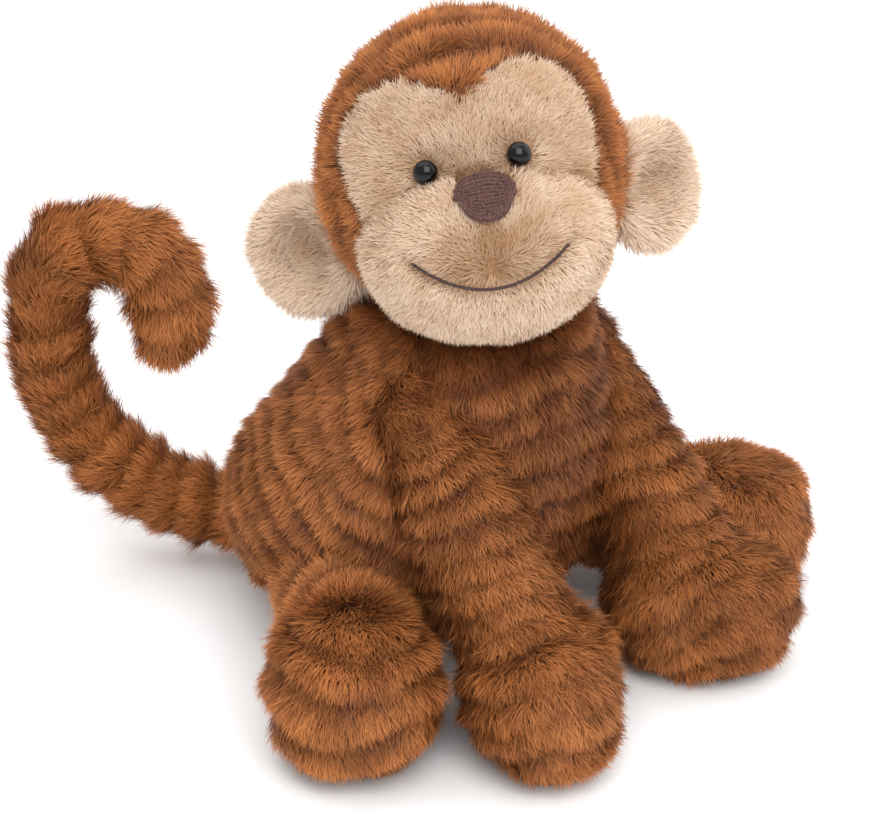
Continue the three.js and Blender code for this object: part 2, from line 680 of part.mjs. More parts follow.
// The part's origin: the middle of its outline, on the surface that it sits on
object.updateMatrixWorld(true);
const extent = new THREE.Box3().setFromObject(object);
const middle = extent.getCenter(new THREE.Vector3());
object.position.set(-middle.x, -middle.y, -extent.min.z);
const monkey = new THREE.Group();
monkey.add(object);

export default monkey;
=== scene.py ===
"""Dresses the sitting plush monkey: wavy brown fur, beige face, bead eyes, stitched nose and smile."""

import json
import logging
import math
from dataclasses import dataclass, field, replace
from enum import Enum

import bmesh
import bpy
import numpy as np
from mathutils import Euler, Matrix, Vector, noise
from mathutils.bvhtree import BVHTree


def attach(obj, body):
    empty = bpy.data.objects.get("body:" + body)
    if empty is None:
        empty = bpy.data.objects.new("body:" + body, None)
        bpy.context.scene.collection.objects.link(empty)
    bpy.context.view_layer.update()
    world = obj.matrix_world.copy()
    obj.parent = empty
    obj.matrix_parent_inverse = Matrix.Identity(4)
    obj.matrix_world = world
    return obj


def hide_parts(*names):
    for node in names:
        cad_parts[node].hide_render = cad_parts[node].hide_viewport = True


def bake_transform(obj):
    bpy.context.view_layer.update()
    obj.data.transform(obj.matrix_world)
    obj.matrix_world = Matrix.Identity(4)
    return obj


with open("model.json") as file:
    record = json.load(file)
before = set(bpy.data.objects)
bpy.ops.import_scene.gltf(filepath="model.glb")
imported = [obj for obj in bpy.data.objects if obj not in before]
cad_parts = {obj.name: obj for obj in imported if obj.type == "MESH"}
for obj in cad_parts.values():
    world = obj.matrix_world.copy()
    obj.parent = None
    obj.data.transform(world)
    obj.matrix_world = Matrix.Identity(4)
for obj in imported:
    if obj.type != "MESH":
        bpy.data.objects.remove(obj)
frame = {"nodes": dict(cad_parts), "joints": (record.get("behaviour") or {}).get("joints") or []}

LOG = logging.getLogger("monkey")
MM = 0.001
UP = Vector((0.0, 0.0, 1.0))
UV_LAYER = "OFBake"


def joint_point(name: str) -> Vector:
    """Finds where a joint turns."""
    for joint in frame["joints"]:
        if joint["name"] == name:
            return Vector(joint["pos_m"])
    raise KeyError(name)


NECK_HINGE_HEIGHT = 128.0
ORIGIN = joint_point("head_turn") - UP * NECK_HINGE_HEIGHT * MM


def place(x: float, y: float, z: float) -> Vector:
    """Turns a point in the monkey's own millimetres into the part's frame."""
    return ORIGIN + Vector((x, y, z)) * MM


def srgb(red: int, green: int, blue: int) -> tuple[float, float, float, float]:
    """Turns a display colour into a linear one."""
    linear = []
    for value in (red, green, blue):
        share = value / 255
        linear.append(share / 12.92 if share <= 0.04045 else ((share + 0.055) / 1.055) ** 2.4)
    return (*linear, 1.0)


class Slot(Enum):
    """The record's material slots."""

    CARAMEL = "caramel_plush"
    BEIGE = "beige_plush"
    FILLING = "polyester_filling"
    POUCH = "cotton_pouch"
    BEAD = "black_bead"
    WASHER = "white_washer"
    NOSE = "nose_thread"
    SMILE = "smile_thread"


# ---------------------------------------------------------------- materials


class NodeSheet:
    """A short hand for building one node tree."""

    def __init__(self, tree: bpy.types.NodeTree) -> None:
        """Keeps the tree and empties it."""
        self.tree = tree
        tree.nodes.clear()

    def add(self, kind: str, **settings: object) -> bpy.types.Node:
        """Adds a node."""
        node = self.tree.nodes.new(kind)
        for name, value in settings.items():
            setattr(node, name, value)
        return node

    def link(self, out: bpy.types.NodeSocket, into: bpy.types.NodeSocket) -> None:
        """Joins two sockets."""
        self.tree.links.new(out, into)

    def read(self, name: str, kind: str = "FLOAT") -> bpy.types.NodeSocket:
        """Reads a named attribute of one data type."""
        node = self.add("GeometryNodeInputNamedAttribute", data_type=kind)
        node.inputs["Name"].default_value = name
        return node.outputs["Attribute"]

    def fill(self, node: bpy.types.Node, values: tuple) -> bpy.types.NodeSocket:
        """Fills a node's inputs in order."""
        for socket, value in zip(node.inputs, values):
            if isinstance(value, bpy.types.NodeSocket):
                self.link(value, socket)
            elif value is not None:
                socket.default_value = value
        return node.outputs[0]

    def sum(self, operation: str, *values: object) -> bpy.types.NodeSocket:
        """Adds a scalar sum of sockets or numbers."""
        return self.fill(self.add("ShaderNodeMath", operation=operation), values)

    def vector(self, operation: str, *values: object) -> bpy.types.NodeSocket:
        """Adds a vector sum of sockets."""
        return self.fill(self.add("ShaderNodeVectorMath", operation=operation), values)

    def scaled(self, vector: bpy.types.NodeSocket, size: bpy.types.NodeSocket) -> bpy.types.NodeSocket:
        """Scales a vector."""
        node = self.add("ShaderNodeVectorMath", operation="SCALE")
        self.link(vector, node.inputs[0])
        self.link(size, node.inputs["Scale"])
        return node.outputs[0]

    def joined(self, *values: object) -> bpy.types.NodeSocket:
        """Makes a vector of sockets or numbers."""
        return self.fill(self.add("ShaderNodeCombineXYZ"), values)

    def split(self, vector: bpy.types.NodeSocket) -> bpy.types.NodeSocket:
        """Splits a vector into its three sockets."""
        node = self.add("ShaderNodeSeparateXYZ")
        self.link(vector, node.inputs[0])
        return node.outputs

    def chance(self, low: float, high: float, seed: object) -> bpy.types.NodeSocket:
        """Draws a random number for each element."""
        node = self.add("FunctionNodeRandomValue", data_type="FLOAT")
        node.inputs[2].default_value = low
        node.inputs[3].default_value = high
        self.link(seed, node.inputs["Seed"])
        return node.outputs[1]

    def stray(self, seed: object) -> bpy.types.NodeSocket:
        """Draws a random vector between -1 and 1 each way for each element."""
        node = self.add("FunctionNodeRandomValue", data_type="FLOAT_VECTOR")
        node.inputs["Min"].default_value = (-1, -1, -1)
        node.inputs["Max"].default_value = (1, 1, 1)
        self.link(seed, node.inputs["Seed"])
        return node.outputs["Value"]

    def aimed(self, way: bpy.types.NodeSocket, out: bpy.types.NodeSocket) -> bpy.types.NodeSocket:
        """Turns +Z along one way, with +Y towards another."""
        node = self.add("FunctionNodeAxesToRotation", primary_axis="Z", secondary_axis="Y")
        self.link(way, node.inputs["Primary Axis"])
        self.link(out, node.inputs["Secondary Axis"])
        return node.outputs[0]

    def planted(
        self,
        points: bpy.types.NodeSocket,
        thing: bpy.types.NodeSocket,
        turn: bpy.types.NodeSocket,
        size: bpy.types.NodeSocket,
    ) -> bpy.types.NodeSocket:
        """Plants a thing on points and makes each one real."""
        shape = self.add("GeometryNodeObjectInfo", transform_space="ORIGINAL")
        self.link(thing, shape.inputs["Object"])
        plant = self.add("GeometryNodeInstanceOnPoints")
        self.link(points, plant.inputs["Points"])
        self.link(shape.outputs["Geometry"], plant.inputs["Instance"])
        self.link(turn, plant.inputs["Rotation"])
        self.link(size, plant.inputs["Scale"])
        real = self.add("GeometryNodeRealizeInstances")
        self.link(plant.outputs[0], real.inputs[0])
        return real.outputs[0]

    def painted_out(self, geometry: bpy.types.NodeSocket, material: bpy.types.NodeSocket) -> None:
        """Paints a geometry and ends the tree with it."""
        paint = self.add("GeometryNodeSetMaterial")
        self.link(geometry, paint.inputs["Geometry"])
        self.link(material, paint.inputs["Material"])
        self.link(paint.outputs[0], self.add("NodeGroupOutput").inputs[0])

    def ramp(self, value: bpy.types.NodeSocket, stops: list[tuple[float, tuple]]) -> bpy.types.NodeSocket:
        """Adds a colour ramp."""
        node = self.add("ShaderNodeValToRGB")
        elements = node.color_ramp.elements
        while len(elements) > 1:
            elements.remove(elements[-1])
        elements[0].position, elements[0].color = stops[0]
        for position, colour in stops[1:]:
            element = elements.new(position)
            element.color = colour
        self.link(value, node.inputs["Fac"])
        return node.outputs["Color"]

    def mix(
        self, factor: bpy.types.NodeSocket, low: bpy.types.NodeSocket, high: bpy.types.NodeSocket
    ) -> bpy.types.NodeSocket:
        """Mixes two colours."""
        node = self.add("ShaderNodeMix", data_type="RGBA")
        self.link(factor, node.inputs[0])
        self.link(low, node.inputs[6])
        self.link(high, node.inputs[7])
        return node.outputs[2]


@dataclass(frozen=True)
class Finish:
    """A named finish that builds its material once."""

    name: str

    def material(self) -> bpy.types.Material:
        """Gives the finish's material, built the first time it is asked for."""
        known = bpy.data.materials.get(self.name)
        if known:
            return known
        material = bpy.data.materials.new(self.name)
        material.use_nodes = True
        sheet = NodeSheet(material.node_tree)
        shader = sheet.add("ShaderNodeBsdfPrincipled")
        self.shade(sheet, shader)
        out = sheet.add("ShaderNodeOutputMaterial")
        sheet.link(shader.outputs[0], out.inputs["Surface"])
        return material

    def shade(self, sheet: NodeSheet, shader: bpy.types.Node) -> None:
        """Sets up the shader; each kind of finish has its own way."""
        raise NotImplementedError


@dataclass(frozen=True)
class FurFinish(Finish):
    """Pile with painted shade: dark at the root as painted shade deep in the pile and light at the tip;
    across, from darker to lighter tufts, which carry both their own tone and painted shade.
    """

    root_dark: tuple
    root_light: tuple
    tip_dark: tuple
    tip_light: tuple
    roughness: float = 0.62
    gloss: float = 0.25
    rise_from: float = 0.05
    rise_to: float = 0.85

    def shade(self, sheet: NodeSheet, shader: bpy.types.Node) -> None:
        """Colours each hair by its own map: across is tone, up is root to tip."""
        strand = sheet.add("ShaderNodeUVMap", uv_map=UV_LAYER)
        parts = sheet.add("ShaderNodeSeparateXYZ")
        sheet.link(strand.outputs["UV"], parts.inputs[0])
        root = sheet.ramp(parts.outputs["X"], [(0.0, self.root_dark), (1.0, self.root_light)])
        tip = sheet.ramp(parts.outputs["X"], [(0.0, self.tip_dark), (1.0, self.tip_light)])
        # root to tip: the dark root colour is painted shade deep in the pile
        rise = sheet.ramp(parts.outputs["Y"], [(self.rise_from, (0, 0, 0, 1)), (self.rise_to, (1, 1, 1, 1))])
        sheet.link(sheet.mix(rise, root, tip), shader.inputs["Base Color"])
        shader.inputs["Roughness"].default_value = self.roughness
        shader.inputs["Specular IOR Level"].default_value = self.gloss


# The root colours are painted shade deep in the pile; the dark ends also take the painted shade of row
# valleys and creases.
CARAMEL_FUR = FurFinish(
    name="caramel_fur",
    root_dark=srgb(40, 16, 5),
    root_light=srgb(100, 50, 20),
    tip_dark=srgb(110, 56, 24),
    tip_light=srgb(216, 138, 76),
)
# Beige too: the root colours are painted shade deep in the pile.
BEIGE_FUR = FurFinish(
    name="beige_fur",
    root_dark=srgb(150, 108, 74),
    root_light=srgb(196, 162, 128),
    tip_dark=srgb(196, 156, 116),
    tip_light=srgb(240, 218, 196),
)


@dataclass(frozen=True)
class PlainFinish(Finish):
    """A small part's finish: a colour broken up by fine noise, with a matching bump."""

    BUMP_DISTANCE = 0.0004

    dark: tuple
    light: tuple
    roughness: float
    grain: float
    bump: float = 0.1
    gloss: float = 0.5

    def shade(self, sheet: NodeSheet, shader: bpy.types.Node) -> None:
        """Mottles the colour and roughens the surface with one fine noise."""
        where = sheet.add("ShaderNodeTexCoord")
        speckle = sheet.add("ShaderNodeTexNoise")
        speckle.inputs["Scale"].default_value = self.grain
        speckle.inputs["Detail"].default_value = 3.0
        sheet.link(where.outputs["Object"], speckle.inputs["Vector"])
        colour = sheet.ramp(speckle.outputs["Fac"], [(0.35, self.dark), (0.65, self.light)])
        bump = sheet.add("ShaderNodeBump")
        bump.inputs["Strength"].default_value = self.bump
        bump.inputs["Distance"].default_value = self.BUMP_DISTANCE
        sheet.link(speckle.outputs["Fac"], bump.inputs["Height"])
        sheet.link(colour, shader.inputs["Base Color"])
        sheet.link(bump.outputs["Normal"], shader.inputs["Normal"])
        shader.inputs["Roughness"].default_value = self.roughness
        shader.inputs["Specular IOR Level"].default_value = self.gloss


EYE_BEAD = PlainFinish("jet_bead", srgb(4, 3, 3), srgb(14, 9, 8), 0.07, 900.0, 0.0, 0.3)
NOSE_THREAD = PlainFinish("plum_thread", srgb(58, 34, 30), srgb(112, 76, 68), 0.7, 1500.0, 0.4)
SMILE_THREAD = PlainFinish("dark_thread", srgb(40, 24, 20), srgb(70, 46, 40), 0.6, 1500.0, 0.4)
POUCH_COTTON = PlainFinish("pouch_cotton", srgb(200, 190, 170), srgb(226, 218, 202), 0.9, 1100.0, 0.4)
WASHER_PLASTIC = PlainFinish("washer_plastic", srgb(214, 214, 210), srgb(236, 236, 232), 0.45, 500.0)
NECK_FELT = PlainFinish("neck_felt", srgb(70, 34, 14), srgb(110, 58, 26), 0.95, 900.0, 0.6)


# ---------------------------------------------------------------- mesh tools


def bell(gap: np.ndarray, width: float) -> np.ndarray:
    """Gives 1 where a gap is nought, falling smoothly away over a width."""
    return np.exp(-((gap / width) ** 2))


def show(name: str, mesh: bpy.types.Mesh) -> bpy.types.Object:
    """Puts a mesh in the scene as an object at the origin."""
    thing = bpy.data.objects.new(name, mesh)
    bpy.context.scene.collection.objects.link(thing)
    return thing


def discard(thing: bpy.types.Object) -> None:
    """Deletes a helper object and its mesh."""
    mesh = thing.data
    bpy.data.objects.remove(thing)
    if mesh.users == 0:
        bpy.data.meshes.remove(mesh)


def mesh_of(work: bmesh.types.BMesh, name: str) -> bpy.types.Mesh:
    """Turns a finished work mesh into a plain mesh and frees it."""
    mesh = bpy.data.meshes.new(name)
    work.to_mesh(mesh)
    work.free()
    return mesh


def tree_of(mesh: bpy.types.Mesh) -> BVHTree:
    """Builds a search tree of a mesh."""
    work = bmesh.new()
    work.from_mesh(mesh)
    tree = BVHTree.FromBMesh(work)
    work.free()
    return tree


def painted(mesh: bpy.types.Mesh, material: bpy.types.Material) -> bpy.types.Mesh:
    """Gives a mesh one material in place of what it had."""
    mesh.materials.clear()
    mesh.materials.append(material)
    return mesh


def baked(thing: bpy.types.Object, name: str) -> bpy.types.Mesh:
    """Makes a plain mesh of an object with its modifiers applied."""
    bpy.context.view_layer.update()
    graph = bpy.context.evaluated_depsgraph_get()
    mesh = bpy.data.meshes.new_from_object(thing.evaluated_get(graph))
    mesh.name = name
    return mesh


def cad_mesh(nodes: list[str], hull: bool) -> bpy.types.Mesh:
    """Copies CAD nodes into one merged mesh."""
    work = bmesh.new()
    for node in nodes:
        work.from_mesh(frame["nodes"][node].data)
    if hull:
        points = [vertex.co.copy() for vertex in work.verts]
        work.clear()
        for point in points:
            work.verts.new(point)
        wrapped = bmesh.ops.convex_hull(work, input=work.verts)
        inside = {item for item in wrapped["geom_interior"] if isinstance(item, bmesh.types.BMVert)}
        bmesh.ops.delete(work, geom=list(inside), context="VERTS")
        bmesh.ops.recalc_face_normals(work, faces=work.faces)
    return mesh_of(work, "cad_copy")


def remeshed(mesh: bpy.types.Mesh, voxel: float, smooth: int = 0) -> bpy.types.Mesh:
    """Gives a closed mesh an even skin."""
    helper = show("helper", mesh)
    even = helper.modifiers.new("even", "REMESH")
    even.mode = "VOXEL"
    even.voxel_size = voxel * MM
    even.use_smooth_shade = True
    if smooth:
        relax = helper.modifiers.new("relax", "SMOOTH")
        relax.factor = 0.5
        relax.iterations = smooth
    fresh = baked(helper, "skin")
    discard(helper)
    return fresh


@dataclass(frozen=True)
class Stuffing:
    """How hard the filling pushes the cloth out before the pile grows. Millimetres."""

    weave: float = 5.0
    pressure: float = 4.0
    frames: int = 20
    most: float = 1.6

    def plump(self, mesh: bpy.types.Mesh) -> bpy.types.Mesh:
        """Puffs a closed cloth with air pressure and settles it.

        Args:
            mesh: The closed mesh; it is used up.

        Returns:
            The settled mesh, in an even coarse weave.
        """
        cloth = show("cloth", remeshed(mesh, self.weave))
        count = len(cloth.data.vertices)
        start = np.empty(count * 3)
        cloth.data.vertices.foreach_get("co", start)
        sim = cloth.modifiers.new("cloth", "CLOTH")
        sim.settings.use_pressure = True
        sim.settings.uniform_pressure_force = self.pressure
        sim.settings.effector_weights.gravity = 0.0
        sim.settings.quality = 5
        sim.point_cache.frame_start = 1
        sim.point_cache.frame_end = self.frames
        scene = bpy.context.scene
        for step in range(1, self.frames + 1):
            scene.frame_set(step)
        settled = baked(cloth, "settled")
        end = np.empty(count * 3)
        settled.vertices.foreach_get("co", end)
        gap = (end - start).reshape(-1, 3)
        far = np.linalg.norm(gap, axis=1)[:, None]
        gap = gap * np.minimum(1.0, self.most * MM / np.maximum(far, 1e-9))
        settled.vertices.foreach_set("co", start + gap.ravel())
        settled.update()
        discard(cloth)
        scene.frame_set(1)
        return settled


STUFFING = Stuffing()


class Skin:
    """A fine closed skin with the numbers that its fur grows by."""

    STRAY = 0.5
    STRAY_SIZE = 17.0
    CROWN = 0.55
    CREASE = 6.0
    CREASE_PILE = 0.35
    CREASE_LIFT = 0.5
    WARP_SIZE = 34.0
    FINE_WARP = 1.6
    FINE_WARP_SIZE = 12.0
    CREST_AT = 0.45
    PATCH_SIZE = 20.0
    LUMP = 1.2
    LUMP_SIZE = 26.0
    TONE_SIZE = 9.0

    def __init__(self, mesh: bpy.types.Mesh) -> None:
        """Reads the mesh's points."""
        self.mesh = mesh
        self.read()
        count = len(self.co)
        self.comb = np.zeros((count, 3))
        self.pile = np.ones(count)
        self.lift = np.ones(count)
        self.keep = np.ones(count)
        self.tone = np.full(count, 0.5)

    def read(self) -> None:
        """Reads places and normals from the mesh."""
        count = len(self.mesh.vertices)
        flat = np.empty(count * 3)
        self.mesh.vertices.foreach_get("co", flat)
        self.co = flat.reshape(-1, 3).copy()
        self.mesh.vertex_normals.foreach_get("vector", flat)
        self.no = flat.reshape(-1, 3).copy()

    def move(self, offset: np.ndarray) -> None:
        """Moves every point along its normal."""
        self.co = self.co + self.no * offset[:, None]
        self.mesh.vertices.foreach_set("co", self.co.ravel())
        self.mesh.update()
        self.read()

    def wobble(self, size: float, seed: float, detail: int = 2) -> np.ndarray:
        """Reads smooth noise at each point."""
        shift = Vector((seed * 7.3, seed * 3.1, seed * 5.7))
        scale = 1 / (size * MM)
        values = [noise.fractal(Vector(p) * scale + shift, 0.8, 2.0, detail) for p in self.co]
        return np.array(values)

    def lay(self, direction: np.ndarray) -> None:
        """Combs the pile along a direction, laid flat on the skin."""
        way = np.broadcast_to(direction, self.co.shape)
        size = np.linalg.norm(way, axis=1)[:, None]
        stray = np.stack([self.wobble(self.STRAY_SIZE, seed) for seed in (51.0, 62.0, 73.0)], axis=1)
        way = way / np.maximum(size, 1e-9) + self.STRAY * stray
        flat = way - self.no * np.sum(way * self.no, axis=1)[:, None]
        size = np.linalg.norm(flat, axis=1)[:, None]
        self.comb = flat / np.maximum(size, self.CROWN)

    def rows(self, along: np.ndarray, cut: "FurCut") -> None:
        """Waves the skin and its pile into rows.

        Args:
            along: Each point's distance along the comb, in millimetres.
            cut: The pile's sizes.
        """
        warp = self.wobble(self.WARP_SIZE, cut.seed) * cut.row_warp
        warp = warp + self.wobble(self.FINE_WARP_SIZE, cut.seed + 9) * self.FINE_WARP
        phase = (along + warp) / cut.row_pitch
        saw = phase - np.floor(phase)
        rising, falling = saw / self.CREST_AT, (1 - saw) / (1 - self.CREST_AT)
        crest = np.clip(np.where(saw < self.CREST_AT, rising, falling), 0, 1)
        crest = crest * crest * (3 - 2 * crest)
        patchy = np.clip(0.62 + 0.85 * self.wobble(self.PATCH_SIZE, cut.seed + 21), 0.15, 1.1)
        depth = 0.5 + (crest - 0.5) * patchy
        lumps = self.wobble(self.LUMP_SIZE, cut.seed + 44)
        self.move(MM * (cut.row_depth * (depth - 0.5) + self.LUMP * lumps))
        self.pile = 0.78 + 0.34 * depth
        self.lift = 0.65 + 0.75 * depth
        # Tone: painted shade in the row valleys and lighter crests, with a random mottle that is the pile's
        # own.
        mottle = self.wobble(self.TONE_SIZE, cut.seed + 33)
        self.tone = np.clip(0.07 + 0.6 * depth + 0.34 * mottle, 0, 1)

    def hide_inside(self, others: list["Skin"], deep: float = 9.0, share: float = 0.3) -> None:
        """Thins the pile where other skins cover this one."""
        for other in others:
            tree = tree_of(other.mesh)
            for index, point in enumerate(self.co):
                spot = Vector(point)
                near, normal, _, away = tree.find_nearest(spot)
                if (spot - near).dot(normal) < 0 and self.covered(tree, spot):
                    self.keep[index] *= 0.0 if away > deep * MM else share
                elif away < self.CREASE * MM:
                    fluff = 1 - away / (self.CREASE * MM)
                    self.pile[index] *= 1 + self.CREASE_PILE * fluff
                    self.lift[index] *= 1 + self.CREASE_LIFT * fluff

    @staticmethod
    def covered(tree: BVHTree, spot: Vector) -> bool:
        """Tells whether a point is inside a closed skin, by counting what a ray upwards meets."""
        meets = 0
        start = spot
        for _ in range(8):
            hit = tree.ray_cast(start, UP)[0]
            if hit is None:
                break
            meets += 1
            start = hit + UP * 1e-6
        return meets % 2 == 1

    def part(self, wanted: np.ndarray) -> "Skin":
        """Cuts out the faces that touch some of the points."""
        work = bmesh.new()
        work.from_mesh(self.mesh)
        work.verts.ensure_lookup_table()
        order = [(vertex, vertex.index) for vertex in work.verts]
        spare = [f for f in work.faces if not wanted[f.verts[0].index]]
        bmesh.ops.delete(work, geom=spare, context="FACES")
        kept = np.array([index for vertex, index in order if vertex.is_valid])
        piece = Skin(mesh_of(work, "part_skin"))
        for name in ("comb", "pile", "lift", "keep", "tone"):
            setattr(piece, name, getattr(self, name)[kept])
        piece.no = self.no[kept]
        return piece

    def store(self) -> None:
        """Writes the fur's numbers onto the mesh."""
        layers = (
            ("comb", "FLOAT_VECTOR", "vector", self.comb),
            ("pile", "FLOAT", "value", self.pile),
            ("lift", "FLOAT", "value", self.lift),
            ("keep", "FLOAT", "value", self.keep),
            ("tone", "FLOAT", "value", self.tone),
        )
        for name, kind, slot_name, values in layers:
            layer = self.mesh.attributes.new(name, kind, "POINT")
            layer.data.foreach_set(slot_name, np.asarray(values, dtype=np.float32).ravel())


# ---------------------------------------------------------------- fur


@dataclass(frozen=True)
class FurCut:
    """One cut of pile: its hairs, how they lie and the rows they are waved into. Millimetres."""

    length: float = 6.6
    width: float = 0.37
    density: float = 5.0
    rise: float = 0.6
    spread: float = 0.42
    clump: float = 0.75
    clump_size: float = 3.0
    row_pitch: float = 11.0
    row_depth: float = 2.4
    row_warp: float = 5.0
    seed: int = 1


BEIGE_CUT = FurCut(
    length=4.3, width=0.31, density=6.2, rise=1.1, spread=0.6, clump=0.6, clump_size=2.6, row_depth=0.0
)


class GrownTree:
    """A geometry node tree with named inputs that a subclass lays out."""

    NAME = ""
    INPUTS: tuple = ()

    def __init__(self) -> None:
        """Builds the tree's inputs and its nodes."""
        self.tree = bpy.data.node_groups.new(self.NAME, "GeometryNodeTree")
        face = self.tree.interface
        face.new_socket("Geometry", in_out="INPUT", socket_type="NodeSocketGeometry")
        for name, kind in self.INPUTS:
            face.new_socket(name, in_out="INPUT", socket_type=kind)
        face.new_socket("Geometry", in_out="OUTPUT", socket_type="NodeSocketGeometry")
        self.build(NodeSheet(self.tree))

    def build(self, sheet: NodeSheet) -> None:
        """Lays out the nodes on the tree's sheet."""
        raise NotImplementedError

    def grown(self, base: bpy.types.Object, name: str, values: dict[str, object]) -> bpy.types.Mesh:
        """Runs the tree on an object and keeps the result as a plain mesh."""
        grower = base.modifiers.new("grower", "NODES")
        grower.node_group = self.tree
        for item in self.tree.interface.items_tree:
            if item.item_type == "SOCKET" and item.in_out == "INPUT" and item.name in values:
                grower[item.identifier] = values[item.name]
        mesh = baked(base, name)
        discard(base)
        return mesh


def stripped(mesh: bpy.types.Mesh, names: tuple[str, ...]) -> None:
    """Removes named attributes from a mesh."""
    for name in names:
        if name in mesh.attributes:
            mesh.attributes.remove(mesh.attributes[name])


class FurTree(GrownTree):
    """The geometry nodes that grow pile on a skin."""

    NAME = "plush_pile"
    LENGTHS = (0.72, 1.12)
    FLECK = 0.14
    FLECK_SEED = 5
    TUFT = 0.11
    FLOOR_STOP = 0.2
    MAP_EDGE = 0.04
    BACKING_TONE = (1.6, 0.35)
    BACKING_RISE = (0.2, 0.01)
    INPUTS = (
        ("Density", "NodeSocketFloat"),
        ("Length", "NodeSocketFloat"),
        ("Width", "NodeSocketFloat"),
        ("Rise", "NodeSocketFloat"),
        ("Spread", "NodeSocketFloat"),
        ("Clump", "NodeSocketFloat"),
        ("Clump Size", "NodeSocketFloat"),
        ("Seed", "NodeSocketInt"),
        ("Hair", "NodeSocketObject"),
        ("Pile", "NodeSocketMaterial"),
    )

    def __init__(self) -> None:
        """Builds the tree and one hair."""
        self.hair = self.make_hair()
        super().__init__()

    @staticmethod
    def make_hair() -> bpy.types.Object:
        """Makes one hair of unit width and length, arching back towards -Y."""
        arch = 0.3
        bend = 0.42
        points = [(0.0, 0.0, 0.0), (-0.5, -0.2 * arch, bend), (0.5, -0.2 * arch, bend), (0.0, -arch, 1.0)]
        mesh = bpy.data.meshes.new("hair")
        mesh.from_pydata(points, [], [(0, 1, 2), (1, 3, 2)])
        along = mesh.attributes.new("along", "FLOAT", "POINT")
        along.data.foreach_set("value", [p[2] for p in points])
        side = mesh.attributes.new("side", "FLOAT", "POINT")
        side.data.foreach_set("value", [p[0] for p in points])
        return show("hair", mesh)

    def build(self, sheet: NodeSheet) -> None:
        """Lays out the nodes: scatter, aim, stand the hairs, map them and paint them.

        Args:
            sheet: The tree's sheet.
        """
        inputs = sheet.add("NodeGroupInput").outputs
        scatter = sheet.add("GeometryNodeDistributePointsOnFaces", distribute_method="RANDOM")
        sheet.link(inputs["Geometry"], scatter.inputs["Mesh"])
        sheet.link(sheet.sum("MULTIPLY", inputs["Density"], sheet.read("keep")), scatter.inputs["Density"])
        sheet.link(inputs["Seed"], scatter.inputs["Seed"])
        normal = scatter.outputs["Normal"]

        where = sheet.add("GeometryNodeInputPosition").outputs[0]
        cells = sheet.add("ShaderNodeTexVoronoi", feature="F1")
        sheet.link(where, cells.inputs["Vector"])
        sheet.link(sheet.sum("DIVIDE", 1.0, inputs["Clump Size"]), cells.inputs["Scale"])
        to_centre = sheet.vector("SUBTRACT", cells.outputs["Position"], where)
        gather = sheet.scaled(to_centre, sheet.sum("DIVIDE", inputs["Clump"], inputs["Length"]))
        loose = sheet.scaled(sheet.stray(inputs["Seed"]), inputs["Spread"])

        way = sheet.scaled(normal, sheet.sum("MULTIPLY", inputs["Rise"], sheet.read("lift")))
        for pull in (sheet.read("comb", "FLOAT_VECTOR"), gather, loose):
            way = sheet.vector("ADD", way, pull)
        turn = sheet.aimed(sheet.vector("NORMALIZE", way), normal)

        length = sheet.sum("MULTIPLY", inputs["Length"], sheet.read("pile"))
        length = sheet.sum("MULTIPLY", length, sheet.chance(*self.LENGTHS, inputs["Seed"]))
        size = sheet.joined(inputs["Width"], length, length)

        fleck = sheet.chance(-self.FLECK, self.FLECK, sheet.sum("ADD", inputs["Seed"], self.FLECK_SEED))
        tuft = sheet.split(cells.outputs["Color"])[0]
        tuft_tone = sheet.sum("MULTIPLY_ADD", tuft, 2 * self.TUFT, -self.TUFT)
        tone = sheet.sum("ADD", sheet.sum("ADD", sheet.read("tone"), fleck), tuft_tone)
        shade = sheet.add("GeometryNodeStoreNamedAttribute", data_type="FLOAT", domain="POINT")
        shade.inputs["Name"].default_value = "shade"
        sheet.link(scatter.outputs["Points"], shade.inputs["Geometry"])
        sheet.link(tone, shade.inputs["Value"])

        tips = sheet.split(where)
        rest = sheet.add("GeometryNodeSetPosition")
        real = sheet.planted(shade.outputs[0], inputs["Hair"], turn, size)
        sheet.link(real, rest.inputs["Geometry"])
        stopped = sheet.joined(tips[0], tips[1], sheet.sum("MAXIMUM", tips[2], self.FLOOR_STOP * MM))
        sheet.link(stopped, rest.inputs["Position"])

        edge = self.MAP_EDGE
        across = sheet.sum("MULTIPLY_ADD", sheet.read("shade"), 1 - 2 * edge, edge)
        across = sheet.sum("MINIMUM", sheet.sum("MAXIMUM", across, edge), 1 - edge)
        across = sheet.sum("MULTIPLY_ADD", sheet.read("side"), edge, across)
        hair_map = self.map_onto(sheet, rest.outputs[0], across, sheet.read("along"))
        # The backing takes the dark root colours: painted shade under the pile.
        backing_u = sheet.sum("MULTIPLY_ADD", tips[0], *self.BACKING_TONE)
        backing_v = sheet.sum("MULTIPLY_ADD", tips[2], *self.BACKING_RISE)
        backing_map = self.map_onto(sheet, inputs["Geometry"], backing_u, backing_v)
        both = sheet.add("GeometryNodeJoinGeometry")
        sheet.link(hair_map, both.inputs[0])
        sheet.link(backing_map, both.inputs[0])
        sheet.painted_out(both.outputs[0], inputs["Pile"])

    def map_onto(
        self,
        sheet: NodeSheet,
        geometry: bpy.types.NodeSocket,
        across: bpy.types.NodeSocket,
        along: bpy.types.NodeSocket,
    ) -> bpy.types.NodeSocket:
        """Stores the tone and root-to-tip map on a geometry."""
        store = sheet.add("GeometryNodeStoreNamedAttribute", data_type="FLOAT2", domain="CORNER")
        store.inputs["Name"].default_value = UV_LAYER
        sheet.link(geometry, store.inputs["Geometry"])
        sheet.link(sheet.joined(across, along), store.inputs["Value"])
        return store.outputs[0]

